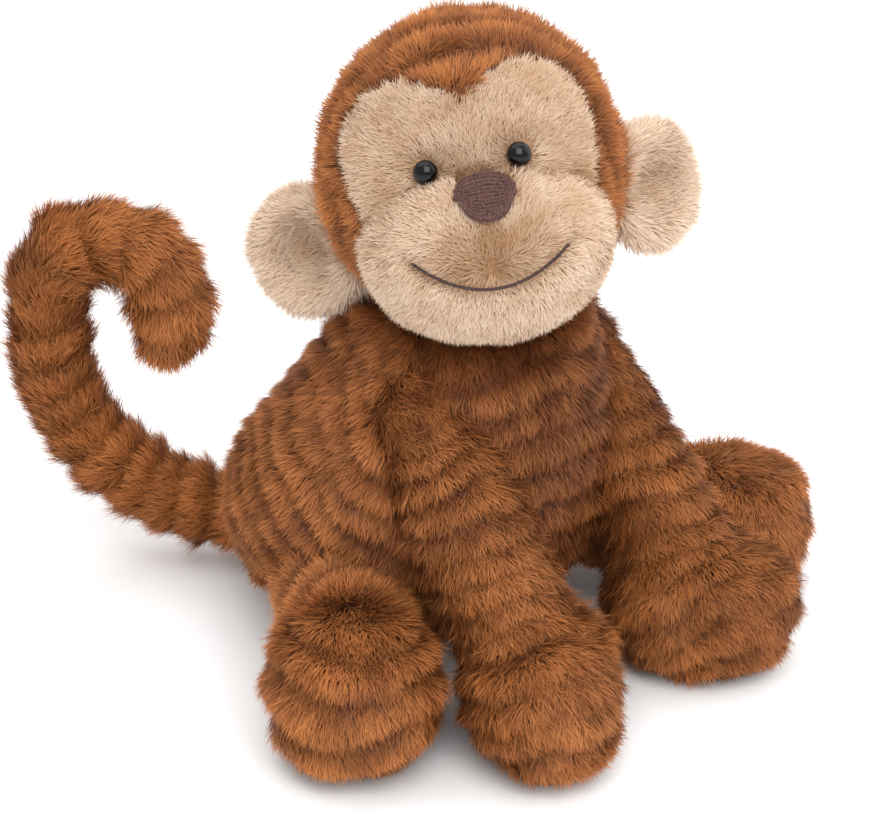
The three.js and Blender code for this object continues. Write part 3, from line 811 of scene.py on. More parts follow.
    def grow(self, name: str, skin: Skin, cut: FurCut, finish: FurFinish) -> bpy.types.Object:
        """Grows pile on a skin.

        Args:
            name: The finished piece's name.
            skin: The skin, with its comb, pile, lift, keep and tone set.
            cut: The pile's sizes.
            finish: The pile's colours.

        Returns:
            The finished piece: backing and hairs in one plain mesh.
        """
        skin.store()
        values = {
            "Density": cut.density / MM**2,
            "Length": cut.length * MM,
            "Width": cut.width * MM,
            "Rise": cut.rise,
            "Spread": cut.spread,
            "Clump": cut.clump,
            "Clump Size": cut.clump_size * MM,
            "Seed": cut.seed,
            "Hair": self.hair,
            "Pile": finish.material(),
        }
        base = show("base", skin.mesh.copy())
        mesh = self.grown(base, name, values)
        stripped(mesh, ("comb", "pile", "lift", "keep", "tone", "shade", "along", "side"))
        mesh.shade_smooth()
        piece = show(name, painted(mesh, finish.material()))
        LOG.info("%s: %d faces", name, len(mesh.polygons))
        return piece


def finish_piece(
    piece: bpy.types.Object, body: str, nodes: list[str]
) -> None:
    """Joins a finished piece to the frame."""
    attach(piece, body)
    if nodes:
        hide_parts(*nodes)
    LOG.info("%s rides on %s", piece.name, body)


# ---------------------------------------------------------------- the monkey


@dataclass
class Limb:
    """One arm or leg: a stuffed tube with a cushion-shaped paw or foot."""

    CROWN_SHIFT = 5.0
    CROWN_SIZE = 22.0
    SHOULDER = 30.0
    PAW_FROM = 34.0

    name: str
    root: tuple[float, float, float]
    end: tuple[float, float, float]
    crown: tuple[float, float, float] | None
    seed: int
    skin: Skin = field(init=False)

    def make_skin(self) -> Skin:
        """Makes the limb's skin from its filling."""
        plump = STUFFING.plump(cad_mesh([f"{self.name}_filling"], hull=False))
        self.skin = Skin(remeshed(plump, 2.4, smooth=5))
        return self.skin

    def combing(self) -> tuple[np.ndarray, np.ndarray]:
        """Works out which way the pile lies."""
        root = np.array(place(*self.root))
        way = np.array((place(*self.end) - place(*self.root)).normalized())
        gap = (self.skin.co - root) / MM
        if self.crown is None:
            along = gap @ way
            forward = np.clip((24.0 - along) / 34.0, 0, 1)[:, None] * np.array((0.0, -1.0, -0.1))
            side = gap - along[:, None] * way
            fan = side / np.maximum(np.linalg.norm(side, axis=1), 1.0)[:, None]
            return way + 1.2 * forward + 0.35 * fan, along - 0.3 * gap[:, 2]
        out = (self.skin.co - np.array(place(*self.crown))) / MM
        return out, np.linalg.norm(out * np.array((0.75, 0.75, 1.0)), axis=1) + self.CROWN_SHIFT

    def dress(self, fur: FurTree, body: Skin) -> None:
        """Combs and grows the limb's pile.

        Args:
            fur: The pile's tree.
            body: The body's skin, which hides the limb's root.
        """
        cut = FurCut(seed=self.seed)
        if self.crown is None:
            cut = FurCut(seed=self.seed, row_depth=1.8, row_warp=8.0, spread=0.5, clump=0.9)
        comb, along = self.combing()
        self.skin.rows(along, cut)
        self.skin.lay(comb)
        if self.crown is not None:
            away = np.clip((along - self.CROWN_SHIFT) / self.CROWN_SIZE, 0, 1)
            outward = place(*self.end) - place(*self.root)
            lean = np.array((outward.x, outward.y, 0.0)) / outward.length
            stray = np.stack([self.skin.wobble(8.0, seed) for seed in (21.0, 32.0, 43.0)], axis=1)
            self.skin.comb = self.skin.comb * away[:, None] + (1.3 * lean + 0.8 * stray) * (1 - away[:, None])
            self.skin.pile *= 1 + 0.2 * (1 - away)
            self.skin.tone = np.maximum(self.skin.tone + 0.1, 0.75 - 0.7 * away)
        else:
            near_root = np.clip(1 - along / self.SHOULDER, 0, 1)
            near_paw = np.clip((along - self.PAW_FROM) / self.PAW_FROM, 0, 1)
            self.skin.move(MM * (1.3 * near_paw - 3.6 * near_root))
            # Tone: painted light near the shoulder over the crease where the arm meets the body; lighter
            # towards the paw as well.
            self.skin.tone += 0.1 * near_root + 0.12 * near_paw - 0.08
        self.skin.hide_inside([body])
        piece = fur.grow(f"{self.name}_plush", self.skin, cut, CARAMEL_FUR)
        finish_piece(piece, self.name, [f"{self.name}_cover", f"{self.name}_filling"])


@dataclass
class Body:
    """The pear-shaped body."""

    seam_back: float = 10.0
    seed: int = 40
    skin: Skin = field(init=False)

    def make_skin(self) -> Skin:
        """Wraps the body's filling in a skin."""
        plump = STUFFING.plump(cad_mesh(["body_filling"], hull=True))
        self.skin = Skin(remeshed(plump, 2.6, smooth=10))
        self.skin.move(np.full(len(self.skin.co), 0.6 * MM))
        return self.skin

    def dress(self, fur: FurTree, covers: list[Skin]) -> None:
        """Combs and grows the body's pile, front and back.

        Args:
            fur: The pile's tree.
            covers: The skins that hide parts of the body.
        """
        cut = FurCut(seed=self.seed)
        spot = (self.skin.co - np.array(place(0, 0, 0))) / MM
        flank = np.clip(np.abs(spot[:, 0]) / 50.0, 0, 1) * np.clip((spot[:, 1] + 25.0) / 30.0, 0, 1)
        comb = np.stack([0.012 * spot[:, 0], 0.75 * flank - 0.15, np.full(len(spot), -1.0)], axis=1)
        along = 0.62 * flank * spot[:, 1] - (1 - 0.25 * flank) * spot[:, 2]
        self.skin.rows(along, cut)
        self.skin.lay(comb)
        # Painted shade on the chest, under the head.
        chest_shade = bell(spot[:, 0], 42.0) * np.clip((10.0 - spot[:, 1]) / 20.0, 0, 1)
        self.skin.tone = np.clip(self.skin.tone - 0.26 * chest_shade - 0.04, 0, 1)
        self.skin.hide_inside(covers)
        front = spot[:, 1] < self.seam_back
        for name, wanted, nodes in (
            ("body_plush_front", front, ["body_front_panel", "body_filling"]),
            ("body_plush_back", ~front, ["body_back_panel"]),
        ):
            piece = fur.grow(name, self.skin.part(wanted), cut, CARAMEL_FUR)
            finish_piece(piece, "body", nodes)


@dataclass
class Tail:
    """The tail: a run back along the floor, a wide bend up and a tight curl. Millimetres."""

    STEP = 2.6
    RING = 22
    CAP_RINGS = 5
    BEND_SPAN = 14.0

    radius: float = 11.0
    root: tuple[float, float, float] = (-1.0, 70.0, 20.0)
    heading: float = 44.0
    run: float = 26.0
    bend: float = 66.0
    rise: float = 14.0
    curl: float = 20.5
    drop: float = 8.0
    seed: int = 60

    def length(self) -> float:
        """Gives the length of the tail's centre line."""
        return self.run + math.pi / 2 * self.bend + self.rise + math.pi * self.curl + self.drop

    def point(self, s: float) -> Vector:
        """Finds a point on the centre line.

        Args:
            s: The distance from the root, in millimetres.

        Returns:
            The point in the part's frame.
        """
        side = self.run + self.bend
        top = self.bend + self.rise
        rest = s - self.run
        out, high = s, 0.0
        if rest > 0:
            angle = min(rest / self.bend, math.pi / 2)
            out = self.run + math.sin(angle) * self.bend
            high = self.bend * (1 - math.cos(angle))
            rest -= math.pi / 2 * self.bend
        if rest > 0:
            high = self.bend + min(rest, self.rise)
            rest -= self.rise
        if rest > 0:
            angle = min(rest / self.curl, math.pi)
            out = side - self.curl * (1 - math.cos(angle))
            high = top + math.sin(angle) * self.curl
            rest -= math.pi * self.curl
        if rest > 0:
            high = top - rest
        turn = math.radians(self.heading)
        away = Vector((-math.sin(turn), math.cos(turn), 0.0))
        x, y, z = self.root
        return place(x, y, z) + away * out * MM + UP * high * MM

    def make_skin(self) -> Skin:
        """Builds the tail's tube.

        Returns:
            The skin, with each point's distance from the root kept in .along.
        """
        count = int(self.length() / self.STEP)
        ring = self.RING
        work = bmesh.new()
        loops = []
        places = []
        for i in range(count + self.CAP_RINGS):
            s = min(i * self.STEP, self.length())
            cap = max(0, i - count)
            shrink = math.cos(cap / self.CAP_RINGS * math.pi / 2)
            centre = self.point(s)
            ahead = (self.point(min(s + 0.5, self.length())) - self.point(s - 0.5)).normalized()
            centre = centre + ahead * math.sin(cap / self.CAP_RINGS * math.pi / 2) * self.radius * MM
            side = ahead.cross(Vector((math.cos(0.77), math.sin(0.77), 0))).normalized()
            over = side.cross(ahead).normalized()
            loop = []
            for k in range(ring):
                a = 2 * math.pi * k / ring
                offset = side * math.cos(a) + over * math.sin(a)
                loop.append(work.verts.new(centre + offset * self.radius * shrink * MM))
                places.append(s + cap * 1.8)
            loops.append(loop)
        for low, high in zip(loops, loops[1:]):
            for k in range(ring):
                work.faces.new((low[k], low[(k + 1) % ring], high[(k + 1) % ring], high[k]))
        work.faces.new(list(reversed(loops[0])))
        work.faces.new(loops[-1])
        bmesh.ops.recalc_face_normals(work, faces=work.faces)
        self.skin = Skin(mesh_of(work, "tail_skin"))
        self.along = np.array(places)
        return self.skin

    def dress(self, fur: FurTree, body: Skin) -> None:
        """Combs and grows the tail's pile.

        Args:
            fur: The pile's tree.
            body: The body's skin, which hides the tail's root.
        """
        cut = FurCut(
            seed=self.seed, length=9.0, rise=0.7, clump=0.9, row_pitch=12.0, spread=0.5, clump_size=4.2
        )
        ways = []
        for s in self.along:
            low = min(max(s, 1.0), self.length() - 1.0)
            ways.append((self.point(low + 1.0) - self.point(low - 1.0)).normalized())
        self.skin.rows(self.along, cut)
        self.skin.tone += 0.3
        self.skin.lay(np.array([tuple(way) for way in ways]))
        self.skin.hide_inside([body])
        piece = fur.grow("tail_plush", self.skin, cut, CARAMEL_FUR)
        knee = self.run + math.pi / 2 * self.bend
        tuple(self.point(knee - self.BEND_SPAN))
        tuple(self.point(knee + self.BEND_SPAN))
        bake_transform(piece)
        nodes = [f"tail_{kind}_{i}" for i in range(1, 6) for kind in ("cover", "filling")]
        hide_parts(*nodes)


@dataclass
class Head:
    """The head: hood, face, muzzle, ears, eyes, nose and smile, in its own frame. Millimetres."""

    BALL_INSET = 3.0
    PAD_INSET = 1.1
    EAR_INSET = 1.0
    EAR_PILE = 5.6
    EYE_HOLLOW = 7.0
    EYE_HOLLOW_DEPTH = 0.9
    EYE_BARE = 3.0
    EYE_EDGE = 1.2
    FACE_CREASE = 3.2
    GROOVE_WIDTH = 2.6
    GROOVE_DEPTH = 2.2
    CHEEK = 1.6
    COVERED_DEPTH = 5.0
    STEM_RADIUS = 1.3
    STEM_LENGTH = 8.0
    STEM_DEPTH = 5.5
    BEAD_FLATTENED = 0.85

    centre_height: float = 161.5
    turn: float = -42.5
    roll: float = -10.5
    nod: float = -9.5
    muzzle_half: tuple[float, float, float] = (38.5, 31.0, 29.5)
    muzzle_middle: tuple[float, float, float] = (1.3, -26.0, -19.0)
    muzzle_twist: float = 4.0
    head_half: tuple[float, float, float] = (49.0, 45.5, 50.0)
    eye_spread: float = 29.0
    eye_height: float = 8.0
    eye_radius: float = 3.7
    eye_sunk: float = 2.1
    smile_width: float = 46.0
    smile_sag: float = 9.5
    smile_height: float = -17.5
    nose_width: float = 19.0
    nose_height: float = 12.2
    nose_rise: float = -1.0
    nose_aside: float = 2.0
    seed: int = 80

    def __post_init__(self) -> None:
        """Works out the head's turned frame."""
        angles = [math.radians(a) for a in (self.nod, self.roll, self.turn)]
        self.turned = Euler(angles, "XYZ").to_matrix()
        self.middle = place(0, 0, self.centre_height)
        self.twist = Matrix.Rotation(math.radians(self.muzzle_twist), 3, "Y")

    def world(self, x: float, y: float, z: float) -> Vector:
        """Turns a point of the head's own frame into the part's frame."""
        return self.middle + self.turned @ Vector((x, y, z)) * MM

    def local(self, points: np.ndarray) -> np.ndarray:
        """Turns points of the part's frame into the head's own millimetres."""
        return (points - np.array(self.middle)) @ np.array(self.turned) / MM

    def ball_depth(self, x: float, z: float, half: tuple, middle: tuple) -> float:
        """Finds how far forward a stretched ball's front lies."""
        a = 1 - ((x - middle[0]) / half[0]) ** 2 - ((z - middle[2]) / half[2]) ** 2
        return middle[1] - half[1] * math.sqrt(max(a, 0.0))

    def face_depth(self, x: float, z: float) -> float:
        """Finds the front of the head and muzzle together, in the muzzle's own twisted frame."""
        head = self.ball_depth(x, z, self.head_half, (0.0, 0.0, 0.0))
        return min(head, self.ball_depth(x, z, self.muzzle_half, self.muzzle_middle))

    def muzzle_world(self, x: float, y: float, z: float) -> Vector:
        """Turns a point of the muzzle's twisted frame into the part's frame."""
        return self.middle + self.turned @ self.twist @ Vector((x, y, z)) * MM

    def smile_point(self, t: float) -> tuple[float, float]:
        """Finds the smile's line: t runs from -1 at its right end to 1 at its left."""
        x = self.muzzle_middle[0] + t * self.smile_width / 2
        return (x, self.smile_height - self.smile_sag * (1 - t * t))

    def clear_of_nose(self, spot: np.ndarray) -> np.ndarray:
        """Gives how much pile is left round the nose: none under it, all of it beyond."""
        across = (spot[:, 0] - self.nose_aside) / (self.nose_width / 2 + 0.5)
        high = (spot[:, 2] - self.nose_rise) / (self.nose_height / 2 + 0.5)
        behind = spot[:, 1] > -20.0
        return np.clip((np.hypot(across, high) - 0.86) / 0.2 + behind, 0, 1)

    def make_skins(self) -> None:
        """Makes the head ball's and the muzzle's skins."""
        ball = remeshed(cad_mesh(["head_hood", "face_panel"], hull=True), 2.0, smooth=8)
        self.ball = Skin(ball)
        self.ball.move(np.full(len(self.ball.co), -self.BALL_INSET * MM))
        pad = remeshed(cad_mesh(["muzzle_panel"], hull=True), 1.6, smooth=8)
        self.pad = Skin(pad)
        self.pad.move(np.full(len(self.pad.co), -self.PAD_INSET * MM))

    def split_ball(self) -> tuple[Skin, Skin]:
        """Parts the head ball into hood and face by the CAD panels nearest to each point."""
        trees = [tree_of(frame["nodes"][node].data) for node in ("head_hood", "face_panel")]
        face = np.zeros(len(self.ball.co), bool)
        for index, point in enumerate(self.ball.co):
            gaps = [tree.find_nearest(Vector(point))[3] for tree in trees]
            face[index] = gaps[1] < gaps[0]
        return self.ball.part(~face), self.ball.part(face)

    def dress_hood(self, fur: FurTree, skin: Skin) -> None:
        """Grows the brown hood."""
        cut = FurCut(seed=self.seed, length=6.4, row_pitch=10.0, rise=0.7, row_depth=2.0, row_warp=3.0)
        back = np.array(self.turned @ Vector((0.0, 1.0, 0.0)))
        spot = self.local(skin.co)
        skin.rows(spot[:, 1] + 0.12 * spot[:, 2], cut)
        skin.lay(back)
        skin.hide_inside([self.pad], deep=6.0)
        piece = fur.grow("hood_plush", skin, cut, CARAMEL_FUR)
        finish_piece(piece, "head", ["head_hood", "head_filling"])

    def dress_face(self, fur: FurTree, skin: Skin) -> None:
        """Grows the beige face panel, parted round the eyes.

        Args:
            fur: The pile's tree.
            skin: The face panel's skin.
        """
        cut = replace(BEIGE_CUT, seed=self.seed + 1)
        spot = self.local(skin.co)
        away = np.stack([spot[:, 0] * 0.9, np.zeros(len(spot)), spot[:, 2] + 2.0], axis=1)
        for sign in (-1, 1):
            dx = spot[:, 0] - sign * self.eye_spread / 2
            dz = spot[:, 2] - self.eye_height
            gap = np.hypot(dx, dz)
            hollow = bell(gap, self.EYE_HOLLOW)
            skin.keep *= np.clip((gap - self.EYE_BARE) / self.EYE_EDGE, 0, 1)
            skin.move(-self.EYE_HOLLOW_DEPTH * MM * hollow)
            near = hollow[:, None] * 60.0
            away += near * np.stack([dx, np.zeros(len(dx)), dz], axis=1) / np.maximum(gap, 1)[:, None]
        skin.lay(away @ np.array(self.turned).T)
        skin.pile = 0.85 + 0.25 * skin.wobble(12.0, 3.0)
        skin.tone = np.clip(0.47 + 0.3 * skin.wobble(9.0, 5.0), 0, 1)
        tree = tree_of(self.pad.mesh)
        gaps = np.array([tree.find_nearest(Vector(p))[3] for p in skin.co]) / MM
        crease = bell(gaps, self.FACE_CREASE)
        # Painted shade along the crease where the face meets the muzzle pad; the pile is shorter there too.
        skin.tone = np.clip(skin.tone - 0.6 * crease, 0, 1)
        skin.pile *= 1 - 0.3 * crease
        skin.keep *= self.clear_of_nose(spot @ np.array(self.twist))
        skin.hide_inside([self.pad], deep=self.COVERED_DEPTH)
        piece = fur.grow("face_plush", skin, cut, BEIGE_FUR)
        finish_piece(piece, "head", ["face_panel"])

    def dress_muzzle(self, fur: FurTree) -> None:
        """Shapes and grows the muzzle: a crease under the nose and a groove for the smile.

        Args:
            fur: The pile's tree.
        """
        skin = self.pad
        cut = replace(BEIGE_CUT, seed=self.seed + 2)
        spot = self.local(skin.co) @ np.array(self.twist)
        front = np.clip((-spot[:, 1] - 30.0) / 12.0, 0, 1)
        x, z = spot[:, 0] - self.muzzle_middle[0], spot[:, 2]
        span = np.clip(x / (self.smile_width / 2), -1, 1)
        line = self.smile_height - self.smile_sag * (1 - span**2)
        gap = np.hypot(z - line, np.maximum(np.abs(x) - self.smile_width / 2, 0))
        groove = bell(gap, self.GROOVE_WIDTH) * front
        above = np.clip((z - line) / 3.0, 0, 1) * np.clip((-3.0 - z) / 6.0, 0, 1)
        crease = bell(x, 3.2) * above * front
        cheek = bell(np.abs(x) - 15.0, 11.0) * bell(z + 16.0, 10.0) * front
        skin.move(MM * (self.CHEEK * (cheek - crease) - self.GROOVE_DEPTH * groove))
        away = np.stack([x, np.zeros(len(x)), z + 14.0], axis=1)
        away[:, 2] += np.where(z > line, 8.0, -10.0)
        skin.lay(away @ np.array(self.turned @ self.twist).T)
        skin.keep *= np.clip((gap - 0.9) / 0.8, 0, 1) * self.clear_of_nose(spot)
        skin.pile = (0.8 + 0.2 * skin.wobble(12.0, 8.0)) * (1 - 0.45 * bell(gap, 3.0))
        lip = np.where(z < line, 0.14, 0.0)
        snout = bell(x, 15.0) * bell(z + 17.0, 8.0) * front
        warm = snout * np.where(z > line, 0.42, 0.1)
        # Tone: painted shade in the crease under the nose; the lip below the smile is lighter and the snout
        # warmer, with a random mottle.
        skin.tone = np.clip(0.6 + lip - warm + 0.3 * skin.wobble(9.0, 6.0) - 0.3 * crease, 0, 1)
        skin.hide_inside([self.ball], deep=self.COVERED_DEPTH)
        piece = fur.grow("muzzle_plush", skin, cut, BEIGE_FUR)
        finish_piece(piece, "head", ["muzzle_panel"])

    def dress_ear(self, fur: FurTree, side: str, sign: int) -> None:
        """Grows one ear.

        Args:
            fur: The pile's tree.
            side: The ear's side name.
            sign: -1 for the right ear and 1 for the left.
        """
        nodes = [f"ear_front_{side}", f"ear_back_{side}"]
        mesh = remeshed(cad_mesh(nodes, hull=False), 1.5, smooth=8)
        skin = Skin(mesh)
        skin.move(np.full(len(skin.co), -self.EAR_INSET * MM))
        cut = replace(BEIGE_CUT, seed=self.seed + 5 + sign, length=self.EAR_PILE)
        spot = self.local(skin.co)
        centre_x, centre_z = sign * 53.0, -17.0
        away = np.hypot(spot[:, 0] - centre_x, spot[:, 2] - centre_z)
        facing = np.clip(skin.no @ np.array(self.turned @ Vector((0.0, -1.0, 0.0))) * 2.0, 0, 1)
        inner = np.clip((14.0 - sign * (spot[:, 0] - centre_x)) / 20.0, 0, 1)
        fold = bell(spot[:, 2] - centre_z - 1.0, 3.2) * inner
        rim = bell(away - 15.0, 4.5)
        dish = bell(away, 9.5)
        skin.move(MM * (facing * (2.0 * rim - 3.6 * dish - 2.8 * fold) + 1.0 * skin.wobble(11.0, 7.0 + sign)))
        out = np.stack([spot[:, 0] - sign * 38.0, np.zeros(len(spot)), (spot[:, 2] + 14.0) * 1.1], axis=1)
        skin.lay(out @ np.array(self.turned).T)
        # Painted shade in the dish and the fold, painted light on the rim.
        shade = facing * (0.3 * dish + 0.4 * fold - 0.1 * rim)
        skin.tone = np.clip(0.95 - shade + 0.25 * skin.wobble(8.0, 2.0 + sign), 0, 1)
        skin.pile = 1.0 + 0.25 * rim - 0.25 * dish
        skin.hide_inside([self.ball], deep=self.COVERED_DEPTH)
        piece = fur.grow(f"ear_plush_{side}", skin, cut, BEIGE_FUR)
        finish_piece(piece, f"ear_{side}", nodes)

    def eye_inward(self, sign: int) -> Vector:
        """Finds the way into the head at an eye."""
        x = sign * self.eye_spread / 2
        spot = (x, self.ball_depth(x, self.eye_height, self.head_half, (0.0, 0.0, 0.0)), self.eye_height)
        normal = Vector([value / half**2 for value, half in zip(spot, self.head_half)])
        return -(self.turned @ normal.normalized())

    def add_eye(self, side: str, sign: int) -> None:
        """Makes one bead eye on its stem.

        Args:
            side: The eye's side name.
            sign: -1 for the right eye and 1 for the left.
        """
        x = sign * self.eye_spread / 2
        y = self.ball_depth(x, self.eye_height, self.head_half, (0.0, 0.0, 0.0))
        inward = self.eye_inward(sign)
        aim = inward.to_track_quat("Z", "Y").to_matrix().to_4x4()
        spot = self.world(x, y, self.eye_height)
        work = bmesh.new()
        bmesh.ops.create_uvsphere(work, u_segments=40, v_segments=24, radius=self.eye_radius * MM)
        flat = Matrix.Diagonal((1.0, 1.0, self.BEAD_FLATTENED, 1.0))
        bead = Matrix.Translation(spot + inward * self.eye_sunk * MM) @ aim @ flat
        bmesh.ops.transform(work, matrix=bead, verts=work.verts)
        thick, long = self.STEM_RADIUS * MM, self.STEM_LENGTH * MM
        stem = bmesh.ops.create_cone(
            work, cap_ends=True, segments=16, radius1=thick, radius2=thick, depth=long
        )
        stem_place = Matrix.Translation(spot + inward * self.STEM_DEPTH * MM) @ aim
        bmesh.ops.transform(work, matrix=stem_place, verts=stem["verts"])
        mesh = painted(mesh_of(work, f"eye_{side}"), EYE_BEAD.material())
        mesh.shade_smooth()
        finish_piece(show(f"eye_{side}", mesh), "head", [f"eye_bead_{side}"])

    def add_nose(self, stitches: "StitchTree") -> None:
        """Makes the satin-stitched nose: a raised pad under rows of thread.

        Args:
            stitches: The stitches' tree.
        """
        columns, rows = 30, 13
        work = bmesh.new()
        grid = {}
        points = []
        for i in range(columns + 1):
            u = 2 * i / columns - 1
            x = u * self.nose_width / 2
            tall = self.nose_height / 2 * math.sqrt(max(0.0, 1 - abs(u) ** 2.1))
            for k in range(rows + 1):
                v = 2 * k / rows - 1
                narrow = 1.0 - 0.22 * (1 - v) / 2
                z = self.nose_rise + v * tall
                across = x * narrow
                puff = 1.6 * math.sqrt(max(0.0, 1 - max(abs(u), 0.0) ** 2)) * (1 - abs(v) ** 3) ** 0.5
                y = self.face_depth(across + self.nose_aside, z) - 0.7 - puff
                spot = self.muzzle_world(across + self.nose_aside, y, z)
                grid[i, k] = work.verts.new(spot)
                if 0 < i < columns:
                    points.append(spot)
        for i in range(columns):
            for k in range(rows):
                work.faces.new((grid[i, k], grid[i + 1, k], grid[i + 1, k + 1], grid[i, k + 1]))
        bmesh.ops.remove_doubles(work, verts=work.verts, dist=0.05 * MM)
        rim = [e for e in work.edges if e.is_boundary]
        back = bmesh.ops.extrude_edge_only(work, edges=rim)
        sunk = [item for item in back["geom"] if isinstance(item, bmesh.types.BMVert)]
        inward = self.turned @ Vector((0.0, 1.0, 0.0)) * 2.5 * MM
        bmesh.ops.translate(work, verts=sunk, vec=inward)
        bmesh.ops.holes_fill(work, edges=[e for e in work.edges if e.is_boundary])
        bmesh.ops.recalc_face_normals(work, faces=work.faces)
        mesh = mesh_of(work, "nose_pad")
        mesh.shade_smooth()
        piece = stitches.sew(
            "nose_stitches",
            points,
            self.turned @ Vector((0.0, 0.0, 1.0)),
            self.turned @ Vector((0.0, -1.0, 0.0)),
            length=1.5,
            width=0.62,
            finish=NOSE_THREAD,
            backing=mesh,
            seed=5,
        )
        finish_piece(piece, "head", ["nose_stitching"])

    def add_smile(self, stitches: "StitchTree") -> None:
        """Sews the smile as a line of short stitches.

        Args:
            stitches: The stitches' tree.
        """
        points = []
        ways = []
        count = 34
        for i in range(count):
            t = 2 * (i + 0.5) / count - 1
            x, z = self.smile_point(t)
            points.append(self.muzzle_world(x, self.face_depth(x, z) + 0.1, z))
            ahead = Vector(self.smile_point(t + 0.01)) - Vector(self.smile_point(t - 0.01))
            ways.append(self.turned @ self.twist @ Vector((ahead.x, 0.0, ahead.y)).normalized())
        piece = stitches.sew(
            "smile_stitches",
            points,
            ways,
            self.turned @ Vector((0.0, -1.0, 0.0)),
            length=2.2,
            width=1.05,
            finish=SMILE_THREAD,
            backing=None,
            seed=6,
        )
        finish_piece(piece, "head", ["smile_stitching"])


class StitchTree(GrownTree):
    """The geometry nodes that lay one stitch at each point of a seam."""

    NAME = "sewn_stitches"
    WANDER = 0.12
    INPUTS = (
        ("Stitch", "NodeSocketObject"),
        ("Length", "NodeSocketFloat"),
        ("Width", "NodeSocketFloat"),
        ("Wander", "NodeSocketFloat"),
        ("Seed", "NodeSocketInt"),
        ("Thread", "NodeSocketMaterial"),
    )

    def __init__(self) -> None:
        """Builds the tree and one stitch."""
        work = bmesh.new()
        bmesh.ops.create_uvsphere(work, u_segments=8, v_segments=6, radius=0.5)
        self.stitch = show("stitch", mesh_of(work, "stitch"))
        super().__init__()

    def build(self, sheet: NodeSheet) -> None:
        """Lays out the nodes: aim a stitch along each point's own thread way."""
        inputs = sheet.add("NodeGroupInput").outputs
        loose = sheet.scaled(sheet.stray(inputs["Seed"]), inputs["Wander"])
        aim = sheet.vector("ADD", sheet.read("way", "FLOAT_VECTOR"), loose)
        turn = sheet.aimed(aim, sheet.read("out", "FLOAT_VECTOR"))
        size = sheet.joined(inputs["Width"], inputs["Width"], inputs["Length"])
        sewn = sheet.planted(inputs["Geometry"], inputs["Stitch"], turn, size)
        sheet.painted_out(sewn, inputs["Thread"])

    def sew(
        self,
        name: str,
        points: list[Vector],
        way: Vector | list[Vector],
        out: Vector,
        length: float,
        width: float,
        finish: PlainFinish,
        backing: bpy.types.Mesh | None,
        seed: int,
    ) -> bpy.types.Object:
        """Sews stitches at points.

        Args:
            name: The finished piece's name.
            points: The middle of each stitch.
            way: The way the thread runs, one for all or one for each.
            out: The way the thread faces.
            length: A stitch's length, in millimetres.
            width: A stitch's width, in millimetres.
            finish: The thread's finish.
            backing: A pad under the stitches, if there is one.
            seed: The stitches' random seed.

        Returns:
            The finished piece.
        """
        ways = way if isinstance(way, list) else [way] * len(points)
        mesh = bpy.data.meshes.new("seam")
        mesh.from_pydata([tuple(p) for p in points], [], [])
        for layer_name, vectors in (("way", ways), ("out", [out] * len(points))):
            layer = mesh.attributes.new(layer_name, "FLOAT_VECTOR", "POINT")
            layer.data.foreach_set("vector", np.array([tuple(v) for v in vectors], np.float32).ravel())
        values = {
            "Stitch": self.stitch,
            "Length": length * MM,
            "Width": width * MM,
            "Wander": self.WANDER,
            "Seed": seed,
            "Thread": finish.material(),
        }
        sewn = self.grown(show("seam", mesh), name, values)
        if backing is not None:
            work = bmesh.new()
            work.from_mesh(sewn)
            work.from_mesh(backing)
            bpy.data.meshes.remove(backing)
            work.to_mesh(sewn)
            work.free()
        stripped(sewn, ("way", "out"))
        sewn.shade_smooth()
        return show(name, painted(sewn, finish.material()))


@dataclass
class Insides:
    """What the covers hide: the neck plug, the pellet pouch and the eye washers. Millimetres."""

    washer_depth: float = 2.6

    def build(self, head: Head) -> None:
        """Makes each inner piece."""
        neck = remeshed(cad_mesh(["neck_plug"], hull=False), 1.8, smooth=4)
        painted(neck, NECK_FELT.material())
        finish_piece(show("neck_sleeve", neck), "neck", ["neck_plug"])
        pouch = Skin(remeshed(cad_mesh(["bead_pouch"], hull=False), 1.8, smooth=4))
        pouch.move(0.7 * MM * pouch.wobble(6.0, 4.0))
        painted(pouch.mesh, POUCH_COTTON.material())
        finish_piece(show("pellet_pouch", pouch.mesh), "body", ["bead_pouch"])
        for side, sign in (("right", -1), ("left", 1)):
            ring = cad_mesh([f"eye_washer_{side}"], hull=False)
            ring.transform(Matrix.Translation(head.eye_inward(sign) * self.washer_depth * MM))
            painted(ring, WASHER_PLASTIC.material())
            finish_piece(show(f"washer_{side}", ring), "head", [f"eye_washer_{side}"])


# ---------------------------------------------------------------- studio


